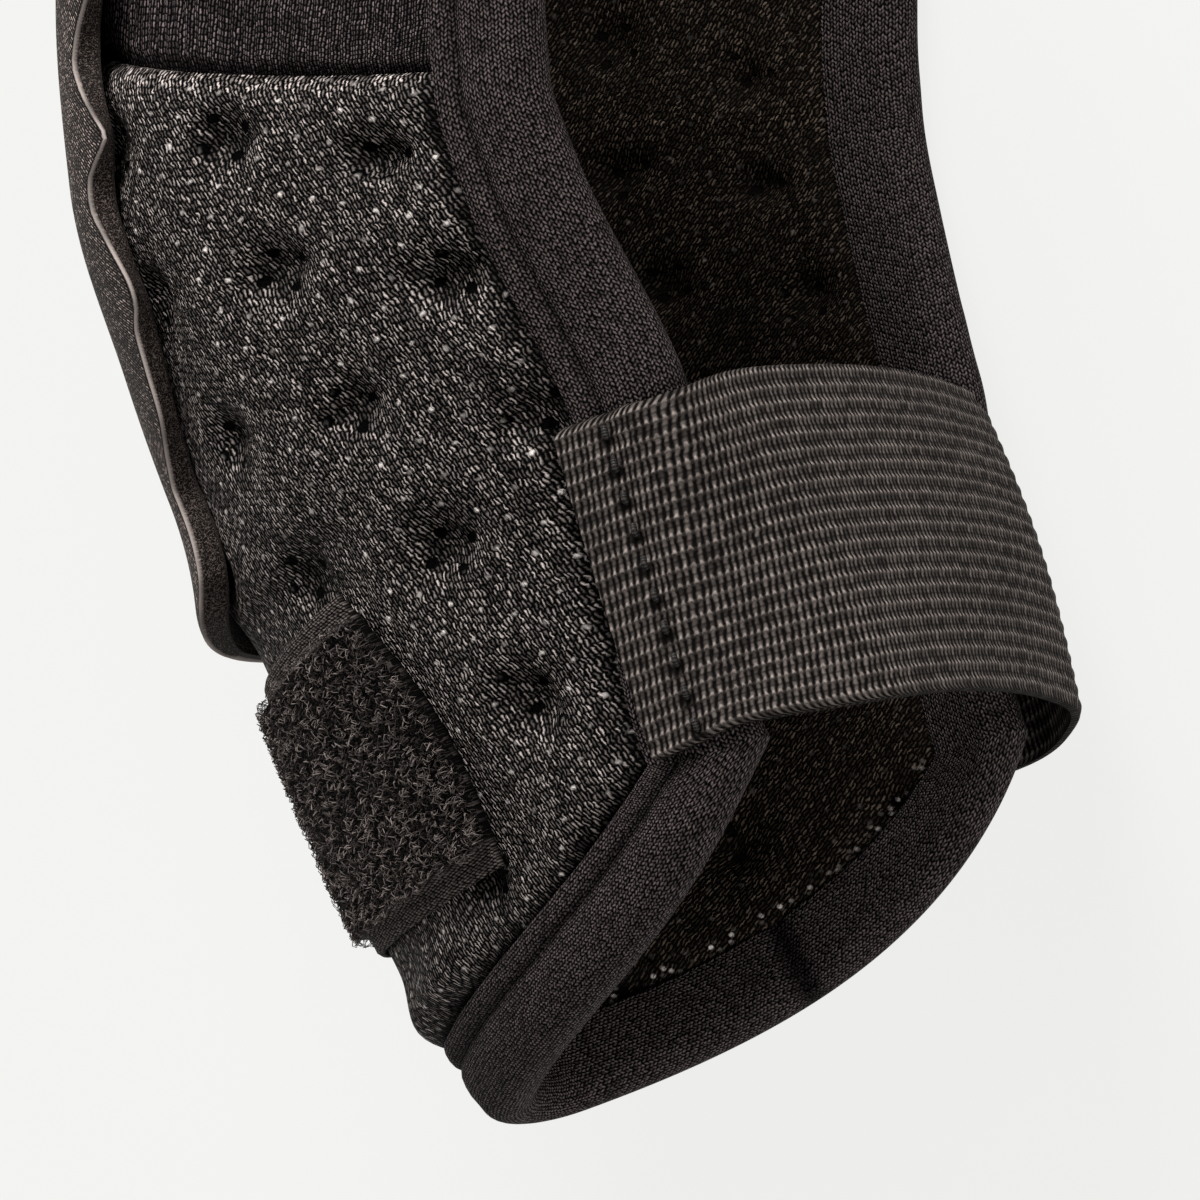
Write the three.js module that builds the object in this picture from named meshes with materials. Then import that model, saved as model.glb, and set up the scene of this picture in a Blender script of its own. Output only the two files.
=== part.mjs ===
// Soft elbow guard: a padded wrap, open along the inside of the elbow, lying on one wing.
// Millimetres. +X runs forward to the open slit, +Y up the arm, +Z from the lower wing to the upper one.

import * as THREE from "three";

// Lengths along the back of the arm, measured down from the elbow line
const UPPER_HEM = -88;
const UPPER_CORNER_DROP = 16;
const UPPER_CORNER_POWER = 7;
const FOREARM_HEM = 160;
const HEM_CORNER_RISE = 18;
const HEM_CORNER_POWER = 4.2;
const HEM_LOWER_WING_DROP = 3;

// Padded wall, as half thicknesses each side of the wall's middle
const PAD_OUTER = 4.2;
const PAD_INNER = 3.8;
const PRESSED_HALF = 2.1;
const DIMPLE_DEPTH = 1.9;
const DIMPLE_COLUMN_STEP = 3;
const DIMPLE_ROW_STEP = 4;
const BACK_COLUMNS = 24;
const SEAM_GAP = 0.3;

// Ribbed strip across the bend of the elbow
const BAND_ABOVE = -8;
const BAND_BELOW = 8;
const BAND_FRONT_DROP = 22;
const BAND_OUTER = 1.6;
const BAND_INNER = 0.1;
const LINING_TOP = 0.5;
const BAND_DROP_START = 0.33;

// Folded tape round every open edge
const TAPE_THICKNESS = 1.1;
const TAPE_CLEARANCE = 0.55;
const TAPE_OUTER_LEG = 14.5;
const TAPE_INNER_LEG = 12.5;
const TAPE_GROOVE_IN = 10.6;
const TAPE_GROOVE_DEPTH = 0.5;
const TAPE_JOINT = -8;
const TAPE_JOINT_GAP = 0.004;
const SLIT_STEPS = 16;

// Cap over the back of the elbow
const CAP_THICKNESS = 3;
const CAP_STAND_OFF = 1;
const CAP_FLARE = 5;
const CAP_FLARE_LENGTH = 20;
const CAP_MIDDLE = 9;
const CAP_SIDE_SHIFT = -2.2;

// Elastic strap across the slit
const STRAP_WIDTH = 43.5;
const STRAP_THICKNESS = 1.5;
const STRAP_RIBS = 21;
const STRAP_RIB_HEIGHT = 0.4;
const STRAP_TILT = 24;
const STRAP_FAR_END = 46;
const STRAP_LANDING_IN = 22;
const STRAP_LANDING_DROP = 1.5;
const STRAP_SEWN = { topAlong: 91.5, topAround: 89, hemAlong: 138, hemAround: 80 };
const STRAP_EDGE_DROP = { top: 5, hem: 1.5 };

// Loop tape round the back of the forearm
const PATCH_THICKNESS = 2.6;
const PATCH_TOP = 94;
const PATCH_BOTTOM = 136;
const PATCH_NEAR_END = 48;
const PATCH_BACK_RISE = 7;
const PATCH_NEAR_COLUMN = 8;
const PATCH_FAR_COLUMN = -11;
const PATCH_ROWS = 6;
const PATCH_END_BOW = 4;

// One row for each section across the arm, from the upper hem to the forearm hem.
// x and y place the wall's middle at the back, tilt leans the section forward (degrees),
// backRadius and backTurn round the back, reach runs from the back to the slit edge.
const SECTIONS = [
  { along: -92, x: 26.6, y: 92, tilt: 0, halfWidth: 44, backRadius: 66, backTurn: 28, reach: 88, edgeHalf: 44 },
  { along: -36, x: 26.6, y: 36, tilt: 0, halfWidth: 44, backRadius: 62, backTurn: 29, reach: 88, edgeHalf: 44 },
  { along: 0, x: 26.6, y: 0, tilt: 0, halfWidth: 44, backRadius: 46, backTurn: 40, reach: 88, edgeHalf: 44 },
  { along: 24.5, x: 29.2, y: -24.4, tilt: 8, halfWidth: 44, backRadius: 47, backTurn: 39, reach: 87, edgeHalf: 44 },
  { along: 50, x: 36.2, y: -48.6, tilt: 17, halfWidth: 43.4, backRadius: 40, backTurn: 43, reach: 86.1, edgeHalf: 42 },
  { along: 89, x: 50.2, y: -84.7, tilt: 25, halfWidth: 38.5, backRadius: 26, backTurn: 46, reach: 87, edgeHalf: 35 },
  { along: 136, x: 69.4, y: -128.2, tilt: 30, halfWidth: 32.5, backRadius: 13, backTurn: 48, reach: 78, edgeHalf: 30 },
  { along: 160, x: 84, y: -145.6, tilt: 31, halfWidth: 30, backRadius: 10, backTurn: 48, reach: 74, edgeHalf: 29 },
];

// Half width of the cap round the back, below its middle and mirrored above it
const CAP_OUTLINE = [
  { below: 0, half: 43.7 },
  { below: 11, half: 48.2 },
  { below: 20, half: 43.2 },
  { below: 34, half: 43.7 },
  { below: 46, half: 38.2 },
  { below: 60, half: 30.2 },
  { below: 71, half: 25.2 },
  { below: 76, half: 18.2 },
  { below: 78, half: 11 },
];

// Free run of the strap from the upper wing's edge to the lower wing's edge.
// lateral is a share of the slit edge's half width, drop moves the strap down the arm.
const STRAP_RUN = [
  { forward: 3.5, drop: 2.8, lateral: 1.03 },
  { forward: 7, drop: 2.6, lateral: 0.7 },
  { forward: 8.8, drop: 2.2, lateral: 0.24 },
  { forward: 8.2, drop: 2.2, lateral: -0.28 },
  { forward: 6.2, drop: 3, lateral: -0.72 },
  { forward: 4.4, drop: 3.8, lateral: -0.98 },
  { forward: -0.5, drop: 4, lateral: -1.14 },
  { forward: -10, drop: 4, lateral: -1.26 },
];

const FLOOR = -(SECTIONS[0].halfWidth + PAD_OUTER);
const TAPE_FACE = PRESSED_HALF + TAPE_CLEARANCE + TAPE_THICKNESS;
const TAPE_BED = PRESSED_HALF + TAPE_CLEARANCE;
const PAD_EDGE = TAPE_FACE + 0.4;

// Distances from an open edge of the column and row lines that shape the pressed border of a pad
const BORDER_LINES = [PAD_EDGE, 9, TAPE_OUTER_LEG, TAPE_OUTER_LEG + 3, TAPE_OUTER_LEG + 7.5];
const BORDER_RISE = [
  { from: TAPE_OUTER_LEG, half: 0 },
  { from: TAPE_OUTER_LEG + 3, half: 0.75 },
  { from: TAPE_OUTER_LEG + 7.5, half: 1 },
];
const BAND_SIDE_LINES = [SEAM_GAP, 2.5, 7];
const BAND_SIDE_RISE = [
  { from: SEAM_GAP, half: 0 },
  { from: 2.5, half: 0.7 },
  { from: 7, half: 1 },
];

function lerp(from, to, share) {
  return from + (to - from) * share;
}

// Smooth reading of one column of a table that never overshoots its rows
function readTable(rows, key, column, at) {
  const last = rows.length - 1;
  const steps = [];
  for (let i = 0; i < last; i += 1) {
    const run = rows[i + 1][key] - rows[i][key];
    steps.push({ run, slope: (rows[i + 1][column] - rows[i][column]) / run });
  }
  const slopes = rows.map((row, i) => {
    if (i === 0) {
      return steps[0].slope;
    }
    if (i === last) {
      return steps[last - 1].slope;
    }
    const before = steps[i - 1];
    const after = steps[i];
    if (before.slope * after.slope <= 0) {
      return 0;
    }
    const early = 2 * after.run + before.run;
    const late = after.run + 2 * before.run;
    return (early + late) / (early / before.slope + late / after.slope);
  });
  if (at <= rows[0][key]) {
    return rows[0][column] + (at - rows[0][key]) * slopes[0];
  }
  if (at >= rows[last][key]) {
    return rows[last][column] + (at - rows[last][key]) * slopes[last];
  }
  const i = rows.findIndex((row) => row[key] > at) - 1;
  const run = steps[i].run;
  const t = (at - rows[i][key]) / run;
  const start = (1 + 2 * t) * (1 - t) ** 2 * rows[i][column] + t * (1 - t) ** 2 * run * slopes[i];
  const end = t * t * (3 - 2 * t) * rows[i + 1][column] + t * t * (t - 1) * run * slopes[i + 1];
  return start + end;
}

// One section: a round back, a flatter side and a wing that leans in to the slit edge
const sectionStore = new Map();

function section(along) {
  const stored = sectionStore.get(along);
  if (stored) {
    return stored;
  }
  const read = (column) => readTable(SECTIONS, "along", column, along);
  const halfWidth = read("halfWidth");
  const backRadius = read("backRadius");
  const turn = THREE.MathUtils.degToRad(read("backTurn"));
  const sideRadius = (halfWidth - backRadius * Math.sin(turn)) / (1 - Math.sin(turn));
  const backDepth = backRadius * (1 - Math.cos(turn));
  const sideDepth = backDepth + sideRadius * Math.cos(turn);
  const run = Math.max(read("reach") - sideDepth, 0.01);
  const lean = Math.max(halfWidth - read("edgeHalf"), 0.0001);
  const wingRadius = (run * run + lean * lean) / (2 * lean);
  const backLength = backRadius * turn;
  const sideLength = sideRadius * (Math.PI / 2 - turn);
  const wingLength = wingRadius * Math.asin(run / wingRadius);
  const made = {
    x: read("x"),
    y: read("y"),
    tilt: THREE.MathUtils.degToRad(read("tilt")),
    halfWidth,
    backRadius,
    turn,
    sideRadius,
    backDepth,
    sideDepth,
    wingRadius,
    backLength,
    sideLength,
    halfLength: backLength + sideLength + wingLength,
  };
  sectionStore.set(along, made);
  return made;
}

// Point on the wall's middle, at a distance round from the back (upper wing positive)
function wallPoint(around, along) {
  const part = section(along);
  const way = Math.abs(around);
  let depth = 0;
  let lateral = 0;
  if (way <= part.backLength) {
    const angle = way / part.backRadius;
    depth = part.backRadius * (1 - Math.cos(angle));
    lateral = part.backRadius * Math.sin(angle);
  } else if (way <= part.backLength + part.sideLength) {
    const angle = part.turn + (way - part.backLength) / part.sideRadius;
    depth = part.backDepth + part.sideRadius * (Math.cos(part.turn) - Math.cos(angle));
    const backHalf = part.backRadius * Math.sin(part.turn);
    lateral = backHalf + part.sideRadius * (Math.sin(angle) - Math.sin(part.turn));
  } else {
    const angle = (way - part.backLength - part.sideLength) / part.wingRadius;
    depth = part.sideDepth + part.wingRadius * Math.sin(angle);
    lateral = part.halfWidth - part.wingRadius * (1 - Math.cos(angle));
  }
  return new THREE.Vector3(
    part.x + depth * Math.cos(part.tilt),
    part.y + depth * Math.sin(part.tilt),
    Math.sign(around) * lateral,
  );
}

// Point off the wall's middle, positive outward
function offWall(around, along, off) {
  const step = 0.05;
  const round = wallPoint(around + step, along).sub(wallPoint(around - step, along));
  const down = wallPoint(around, along + step).sub(wallPoint(around, along - step));
  const outward = down.cross(round).normalize();
  return wallPoint(around, along).addScaledVector(outward, off);
}

function forearmHem(share) {
  const drop = share < 0 ? HEM_LOWER_WING_DROP * Math.sin(Math.PI * Math.min(-share, 1)) : 0;
  return FOREARM_HEM + drop - HEM_CORNER_RISE * Math.abs(share) ** HEM_CORNER_POWER;
}

function upperHem(share) {
  return UPPER_HEM + UPPER_CORNER_DROP * Math.abs(share) ** UPPER_CORNER_POWER;
}

function bandUpperEdge() {
  return BAND_ABOVE;
}

function bandLowerEdge(share) {
  return BAND_BELOW + BAND_FRONT_DROP * Math.max(0, Math.abs(share) - BAND_DROP_START);
}

// Closed solid through rings of points, each end closed by the same triangles
function loft(rings, endTriangles) {
  const count = rings[0].length;
  const positions = [];
  rings.forEach((ring) => ring.forEach((point) => positions.push(point.x, point.y, point.z)));
  const faces = [];
  for (let i = 0; i + 1 < rings.length; i += 1) {
    for (let j = 0; j < count; j += 1) {
      const a = i * count + j;
      const b = i * count + ((j + 1) % count);
      faces.push([a, b, b + count], [a, b + count, a + count]);
    }
  }
  const last = (rings.length - 1) * count;
  endTriangles.forEach(([a, b, c]) => {
    faces.push([c, b, a], [last + a, last + b, last + c]);
  });
  const at = (index) => new THREE.Vector3().fromArray(positions, index * 3);
  let volume = 0;
  faces.forEach(([a, b, c]) => {
    volume += at(a).dot(at(b).cross(at(c)));
  });
  const geometry = new THREE.BufferGeometry();
  geometry.setAttribute("position", new THREE.Float32BufferAttribute(positions, 3));
  geometry.setIndex(faces.flatMap(([a, b, c]) => (volume < 0 ? [c, b, a] : [a, b, c])));
  geometry.computeVertexNormals();
  return geometry;
}

// Sheet solid from a grid of outer points and the grid of inner points behind it
function sheet(outerRows, innerRows) {
  const rings = outerRows.map((row, i) => [...row, ...[...innerRows[i]].reverse()]);
  const outerLast = outerRows[0].length - 1;
  const innerLast = innerRows[0].length - 1;
  const innerAt = (index) => outerLast + 1 + innerLast - index;
  const endTriangles = [];
  let outer = 0;
  let inner = 0;
  while (outer < outerLast || inner < innerLast) {
    const outerNext = (outer + 1) / outerLast;
    const innerNext = (inner + 1) / innerLast;
    if (inner === innerLast || (outer < outerLast && outerNext <= innerNext)) {
      endTriangles.push([outer, outer + 1, innerAt(inner)]);
      outer += 1;
    } else {
      endTriangles.push([outer, innerAt(inner + 1), innerAt(inner)]);
      inner += 1;
    }
  }
  return loft(rings, endTriangles);
}

// Share of full padding at a distance from a pressed border
function padShare(rise, distance) {
  if (distance <= rise[0].from) {
    return 0;
  }
  for (let i = 0; i + 1 < rise.length; i += 1) {
    if (distance <= rise[i + 1].from) {
      const share = (distance - rise[i].from) / (rise[i + 1].from - rise[i].from);
      return lerp(rise[i].half, rise[i + 1].half, share);
    }
  }
  return 1;
}

// Column lines of a pad: pressed border, even middle, pressed border
function padColumns() {
  const columns = BORDER_LINES.map((edge) => ({ side: -1, edge }));
  for (let i = 1; i < BACK_COLUMNS; i += 1) {
    columns.push({ side: 0, share: (2 * i) / BACK_COLUMNS - 1, index: i - BACK_COLUMNS / 2 });
  }
  [...BORDER_LINES].reverse().forEach((edge) => columns.push({ side: 1, edge }));
  return columns;
}

function columnAround(column, halfLength) {
  if (column.side !== 0) {
    return column.side * (halfLength - column.edge);
  }
  return column.share * (halfLength - BORDER_LINES[BORDER_LINES.length - 1]);
}

// Padded panel between a ribbed strip edge and a hem; middleRows even rows lie between the borders.
// A panel with a lining also runs on as a thin inner layer behind the strip, up to liningEdge.
function paddedPanel(stripEdge, hemEdge, middleRows, liningEdge) {
  const way = Math.sign(hemEdge(0) - stripEdge(0));
  const rows = liningEdge === undefined ? [] : [0, 0.5, 1].map((share) => ({ from: "lining", share }));
  rows.push(...BAND_SIDE_LINES.map((edge) => ({ from: "strip", edge })));
  for (let i = 1; i < middleRows; i += 1) {
    rows.push({ from: "middle", share: i / middleRows, index: i });
  }
  [...BORDER_LINES].reverse().forEach((edge) => rows.push({ from: "hem", edge }));
  const columns = padColumns();
  const border = BORDER_LINES[BORDER_LINES.length - 1];
  const strip = BAND_SIDE_LINES[BAND_SIDE_LINES.length - 1];
  const outerRows = [];
  const innerRows = [];
  rows.forEach((row) => {
    const outer = [];
    const inner = [];
    columns.forEach((column) => {
      let along = stripEdge(0);
      let around = 0;
      let start = 0;
      let end = 0;
      for (let pass = 0; pass < 6; pass += 1) {
        around = columnAround(column, section(along).halfLength);
        const share = around / section(along).halfLength;
        start = stripEdge(share);
        end = hemEdge(share);
        if (row.from === "lining") {
          along = lerp(liningEdge + way * SEAM_GAP, start, row.share);
        } else if (row.from === "strip") {
          along = start + way * row.edge;
        } else if (row.from === "hem") {
          along = end - way * row.edge;
        } else {
          along = lerp(start + way * strip, end - way * border, row.share);
        }
      }
      const fromSlit = section(along).halfLength - Math.abs(around);
      const fromHem = Math.abs(end - along);
      const fromStrip = Math.abs(along - start);
      const edgeShare = padShare(BORDER_RISE, Math.min(fromSlit, fromHem));
      const share = Math.min(edgeShare, padShare(BAND_SIDE_RISE, fromStrip));
      const dimpleColumn = column.side === 0 && column.index % DIMPLE_COLUMN_STEP === 0;
      const stagger = dimpleColumn && (column.index / DIMPLE_COLUMN_STEP) % 2 !== 0 ? 0 : 2;
      const dimpled = dimpleColumn && row.from === "middle" && (row.index + stagger) % DIMPLE_ROW_STEP === 0;
      const dent = dimpled ? DIMPLE_DEPTH : 0;
      const lined = row.from === "lining";
      const top = lined ? -LINING_TOP : lerp(PRESSED_HALF, PAD_OUTER, share) - dent;
      const lowShare = liningEdge === undefined ? share : edgeShare;
      outer.push(offWall(around, along, top));
      inner.push(offWall(around, along, -lerp(PRESSED_HALF, PAD_INNER, lowShare) + dent));
    });
    outerRows.push(outer);
    innerRows.push(inner);
  });
  return sheet(outerRows, innerRows);
}

function flexBand() {
  const outerRows = [];
  const innerRows = [];
  [0, 0.5, 1].forEach((share) => {
    const outer = [];
    const inner = [];
    padColumns().forEach((column) => {
      let along = 0;
      let around = 0;
      for (let pass = 0; pass < 6; pass += 1) {
        around = columnAround(column, section(along).halfLength);
        along = lerp(BAND_ABOVE, bandLowerEdge(around / section(along).halfLength), share);
      }
      outer.push(offWall(around, along, BAND_OUTER));
      inner.push(offWall(around, along, -BAND_INNER));
    });
    outerRows.push(outer);
    innerRows.push(inner);
  });
  return sheet(outerRows, innerRows);
}

// Place on the wrap's outline, a distance in from the open edge.
// share follows the pad's columns round a hem, corner runs from the last column to the slit edge.
function insetEdge(stop, inset) {
  const hemAt = (share) => (stop.hem === "upper" ? upperHem(share) + inset : forearmHem(share) - inset);
  const border = BORDER_LINES[BORDER_LINES.length - 1];
  let along = stop.hem === "upper" ? UPPER_HEM : FOREARM_HEM;
  let around = 0;
  for (let pass = 0; pass < 8; pass += 1) {
    const halfLength = section(along).halfLength;
    around = stop.share * (halfLength - border) + Math.sign(stop.share) * stop.corner * (border - inset);
    along = hemAt(around / halfLength);
  }
  return { around, along };
}

function insetSlit(stop, inset) {
  const low = insetEdge({ hem: "forearm", share: stop.wing, corner: 1 }, inset).along;
  const high = insetEdge({ hem: "upper", share: stop.wing, corner: 1 }, inset).along;
  const along = lerp(low, high, stop.up);
  return { around: stop.wing * (section(along).halfLength - inset), along };
}

// Folded tape: one U profile swept round the whole outline from its joint back to its joint
function edgeBinding() {
  const round = TAPE_FACE;
  const half = round * Math.SQRT1_2;
  const profile = [
    [TAPE_OUTER_LEG, TAPE_FACE],
    [TAPE_GROOVE_IN + 0.8, TAPE_FACE],
    [TAPE_GROOVE_IN, TAPE_FACE - TAPE_GROOVE_DEPTH],
    [TAPE_GROOVE_IN - 0.8, TAPE_FACE],
    [round, TAPE_FACE],
    [round - half, half],
    [0, 0],
    [round - half, -half],
    [round, -TAPE_FACE],
    [TAPE_INNER_LEG, -TAPE_FACE],
    [TAPE_INNER_LEG, -TAPE_BED],
    [round, -TAPE_BED],
    [TAPE_THICKNESS, 0],
    [round, TAPE_BED],
    [TAPE_OUTER_LEG, TAPE_BED],
  ];
  const columnShare = (index) => (2 * index) / BACK_COLUMNS;
  const stops = [];
  const addHem = (hem, from, to) => {
    const way = Math.sign(to - from);
    for (let index = from; way * (to - index) >= 0; index += way) {
      stops.push({ hem, share: columnShare(index), corner: 0 });
    }
  };
  const addSlit = (wing, from, to) => {
    for (let i = 0; i <= SLIT_STEPS; i += 1) {
      stops.push({ wing, up: lerp(from, to, i / SLIT_STEPS) });
    }
  };
  const end = BACK_COLUMNS / 2;
  stops.push({ hem: "forearm", share: columnShare(TAPE_JOINT) + TAPE_JOINT_GAP, corner: 0 });
  addHem("forearm", TAPE_JOINT + 1, end);
  stops.push({ hem: "forearm", share: 1, corner: 0.5 });
  addSlit(1, 0, 1);
  stops.push({ hem: "upper", share: 1, corner: 0.5 });
  addHem("upper", end, -end);
  stops.push({ hem: "upper", share: -1, corner: 0.5 });
  addSlit(-1, 1, 0);
  stops.push({ hem: "forearm", share: -1, corner: 0.5 });
  addHem("forearm", -end, TAPE_JOINT - 1);
  stops.push({ hem: "forearm", share: columnShare(TAPE_JOINT) - TAPE_JOINT_GAP, corner: 0 });
  const rings = stops.map((stop) =>
    profile.map(([inset, off]) => {
      const place = stop.wing ? insetSlit(stop, inset) : insetEdge(stop, inset);
      return offWall(place.around, place.along, off);
    }),
  );
  const outline = profile.map(([inset, off]) => new THREE.Vector2(inset, off));
  const triangles = THREE.ShapeUtils.triangulateShape(outline, []);
  const turned = THREE.ShapeUtils.isClockWise(outline);
  return loft(rings, turned ? triangles.map(([a, b, c]) => [c, b, a]) : triangles);
}

function elbowCap() {
  const end = CAP_OUTLINE[CAP_OUTLINE.length - 1].below;
  const belows = [];
  CAP_OUTLINE.forEach((row, i) => {
    belows.push(row.below);
    const next = CAP_OUTLINE[i + 1];
    if (next && next.below - row.below > 9) {
      belows.push((row.below + next.below) / 2);
    }
  });
  const levels = [...belows.map((below) => -below).reverse(), ...belows.slice(1)];
  const across = 8;
  const outerRows = [];
  const innerRows = [];
  levels.forEach((level) => {
    const along = CAP_MIDDLE + level;
    const half = readTable(CAP_OUTLINE, "below", "half", Math.abs(level));
    const flareShare = Math.max(0, 1 - (end - Math.abs(level)) / CAP_FLARE_LENGTH);
    const off = PAD_OUTER + CAP_STAND_OFF + CAP_FLARE * flareShare ** 2;
    const outer = [];
    const inner = [];
    for (let i = 0; i <= across; i += 1) {
      const around = CAP_SIDE_SHIFT + half * ((2 * i) / across - 1);
      outer.push(offWall(around, along, off + CAP_THICKNESS));
      inner.push(offWall(around, along, off));
    }
    outerRows.push(outer);
    innerRows.push(inner);
  });
  return sheet(outerRows, innerRows);
}

// Loop tape laid along the pad's own columns, its near end bowed
function loopPatch() {
  const border = BORDER_LINES[BORDER_LINES.length - 1];
  const off = PAD_OUTER + SEAM_GAP;
  const outerRows = [];
  const innerRows = [];
  for (let i = 0; i <= PATCH_ROWS; i += 1) {
    const level = lerp(PATCH_TOP, PATCH_BOTTOM, i / PATCH_ROWS);
    const pitch = (2 * (section(level).halfLength - border)) / BACK_COLUMNS;
    const nearEnd = PATCH_NEAR_END + PATCH_END_BOW * Math.sin((Math.PI * i) / PATCH_ROWS);
    const outer = [];
    const inner = [];
    for (let index = PATCH_FAR_COLUMN; index <= PATCH_NEAR_COLUMN; index += 1) {
      const around = index === PATCH_NEAR_COLUMN ? nearEnd : index * pitch;
      const backShare = Math.max(0, 1 - Math.max(around, 0) / PATCH_NEAR_END);
      const along = level - PATCH_BACK_RISE * backShare * (i / PATCH_ROWS);
      outer.push(offWall(around, along, off + PATCH_THICKNESS));
      inner.push(offWall(around, along, off));
    }
    outerRows.push(outer);
    innerRows.push(inner);
  }
  return sheet(outerRows, innerRows);
}

// Line of the strap's inner face at one place across its width, from its sewn end to its fastened end
function strapLine(across) {
  const share = across / STRAP_WIDTH + 0.5;
  const along = lerp(STRAP_SEWN.topAlong, STRAP_SEWN.hemAlong, share);
  const halfLength = section(along).halfLength;
  const sewnEnd = lerp(STRAP_SEWN.topAround, STRAP_SEWN.hemAround, share);
  const sewnOff = TAPE_FACE + TAPE_CLEARANCE;
  const fastenedOff = PAD_OUTER + SEAM_GAP + PATCH_THICKNESS + SEAM_GAP;
  const tilt = THREE.MathUtils.degToRad(STRAP_TILT);
  const forward = new THREE.Vector3(Math.cos(tilt), Math.sin(tilt), 0);
  const down = new THREE.Vector3(Math.sin(tilt), -Math.cos(tilt), 0);
  const centre = (STRAP_SEWN.topAlong + STRAP_SEWN.hemAlong) / 2;
  const edge = wallPoint(section(centre).halfLength, centre);
  const middle = new THREE.Vector3(edge.x, edge.y, 0);
  const edgeHalf = wallPoint(halfLength, along).z;
  const lowest = FLOOR + STRAP_THICKNESS + STRAP_RIB_HEIGHT;
  const points = [];
  const edgeDrop = lerp(STRAP_EDGE_DROP.top, STRAP_EDGE_DROP.hem, share);
  [0, 0.5, 1].forEach((way) => {
    const level = along + edgeDrop * way;
    points.push(offWall(lerp(sewnEnd, section(level).halfLength - 2, way), level, sewnOff));
  });
  STRAP_RUN.forEach((row) => {
    const point = middle.clone().addScaledVector(forward, row.forward);
    point.addScaledVector(down, across + row.drop);
    point.z = Math.max(row.lateral * (edgeHalf + sewnOff), lowest);
    points.push(point);
  });
  const landing = along + STRAP_LANDING_DROP;
  const landingAround = section(landing).halfLength - STRAP_LANDING_IN;
  [0, 0.35, 0.7, 1].forEach((way) => {
    points.push(offWall(-lerp(landingAround, STRAP_FAR_END, way), landing, fastenedOff));
  });
  return new THREE.CatmullRomCurve3(points, false, "centripetal");
}

function forearmStrap() {
  const stations = 18;
  const innerLines = 6;
  const outerAcross = [];
  for (let i = 0; i <= 2 * STRAP_RIBS; i += 1) {
    outerAcross.push({ across: STRAP_WIDTH * (i / (2 * STRAP_RIBS) - 0.5), rib: i % 2 });
  }
  const innerAcross = [];
  for (let i = 0; i < innerLines; i += 1) {
    innerAcross.push(STRAP_WIDTH * (i / (innerLines - 1) - 0.5));
  }
  const step = STRAP_WIDTH / 20;
  const outerLines = outerAcross.map((line) => ({
    rib: line.rib,
    middle: strapLine(line.across).getSpacedPoints(stations),
    left: strapLine(line.across - step).getSpacedPoints(stations),
    right: strapLine(line.across + step).getSpacedPoints(stations),
  }));
  const innerPoints = innerAcross.map((across) => strapLine(across).getSpacedPoints(stations));
  const outerRows = [];
  const innerRows = [];
  for (let i = 0; i <= stations; i += 1) {
    const before = Math.max(i - 1, 0);
    const after = Math.min(i + 1, stations);
    outerRows.push(
      outerLines.map((line) => {
        const run = line.middle[after].clone().sub(line.middle[before]);
        const width = line.right[i].clone().sub(line.left[i]);
        const outward = width.cross(run).normalize();
        const rise = STRAP_THICKNESS + (line.rib ? STRAP_RIB_HEIGHT : 0);
        const point = line.middle[i].clone().addScaledVector(outward, rise);
        point.z = Math.max(point.z, FLOOR);
        return point;
      }),
    );
    innerRows.push(innerPoints.map((points) => points[i].clone()));
  }
  return sheet(outerRows, innerRows);
}

const group = new THREE.Group();
group.name = "elbow_guard";

function addPiece(name, geometry, colour, roughness) {
  const material = new THREE.MeshStandardMaterial({ color: colour, roughness });
  material.name = `${name}_finish`;
  const mesh = new THREE.Mesh(geometry, material);
  mesh.name = name;
  group.add(mesh);
}

addPiece("forearm_pad", paddedPanel(bandLowerEdge, forearmHem, 16, BAND_ABOVE), 0x1d1b1a, 0.85);
addPiece("upper_arm_pad", paddedPanel(bandUpperEdge, upperHem, 8), 0x1d1b1a, 0.85);
addPiece("elbow_flex_band", flexBand(), 0x1f1c20, 0.8);
addPiece("edge_binding", edgeBinding(), 0x2b2828, 0.9);
addPiece("elbow_cap", elbowCap(), 0x2a2623, 0.75);
addPiece("forearm_strap", forearmStrap(), 0x2e2a28, 0.85);
addPiece("loop_patch", loopPatch(), 0x1b1817, 0.95);

// Stand the guard on the floor with the origin under the middle of its box
const box = new THREE.Box3().setFromObject(group);
const middle = box.getCenter(new THREE.Vector3());
group.children.forEach((mesh) => mesh.geometry.translate(-middle.x, -middle.y, -box.min.z));

export default group;
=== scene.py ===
"""Looks of a soft elbow guard: padded mesh, knits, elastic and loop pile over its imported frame."""

import logging
import math
from dataclasses import dataclass, fields
from enum import Enum
from typing import Callable, Sequence, Union

import bpy
import numpy as np
from mathutils import Matrix, Vector


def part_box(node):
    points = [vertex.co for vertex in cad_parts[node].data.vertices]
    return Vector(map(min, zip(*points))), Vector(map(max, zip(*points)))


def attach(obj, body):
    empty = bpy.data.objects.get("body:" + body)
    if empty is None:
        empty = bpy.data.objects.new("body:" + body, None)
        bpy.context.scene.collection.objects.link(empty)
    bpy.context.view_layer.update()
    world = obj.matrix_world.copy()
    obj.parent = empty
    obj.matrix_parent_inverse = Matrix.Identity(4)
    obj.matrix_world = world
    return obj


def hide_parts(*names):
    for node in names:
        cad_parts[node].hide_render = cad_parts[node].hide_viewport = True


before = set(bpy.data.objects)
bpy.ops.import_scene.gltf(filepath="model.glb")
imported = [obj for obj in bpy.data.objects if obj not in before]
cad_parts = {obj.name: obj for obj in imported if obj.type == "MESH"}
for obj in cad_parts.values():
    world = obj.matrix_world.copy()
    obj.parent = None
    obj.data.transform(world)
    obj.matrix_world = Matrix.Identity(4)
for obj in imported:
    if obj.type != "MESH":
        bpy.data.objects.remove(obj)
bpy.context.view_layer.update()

Array = np.ndarray
Colour = tuple[float, float, float]
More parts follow.
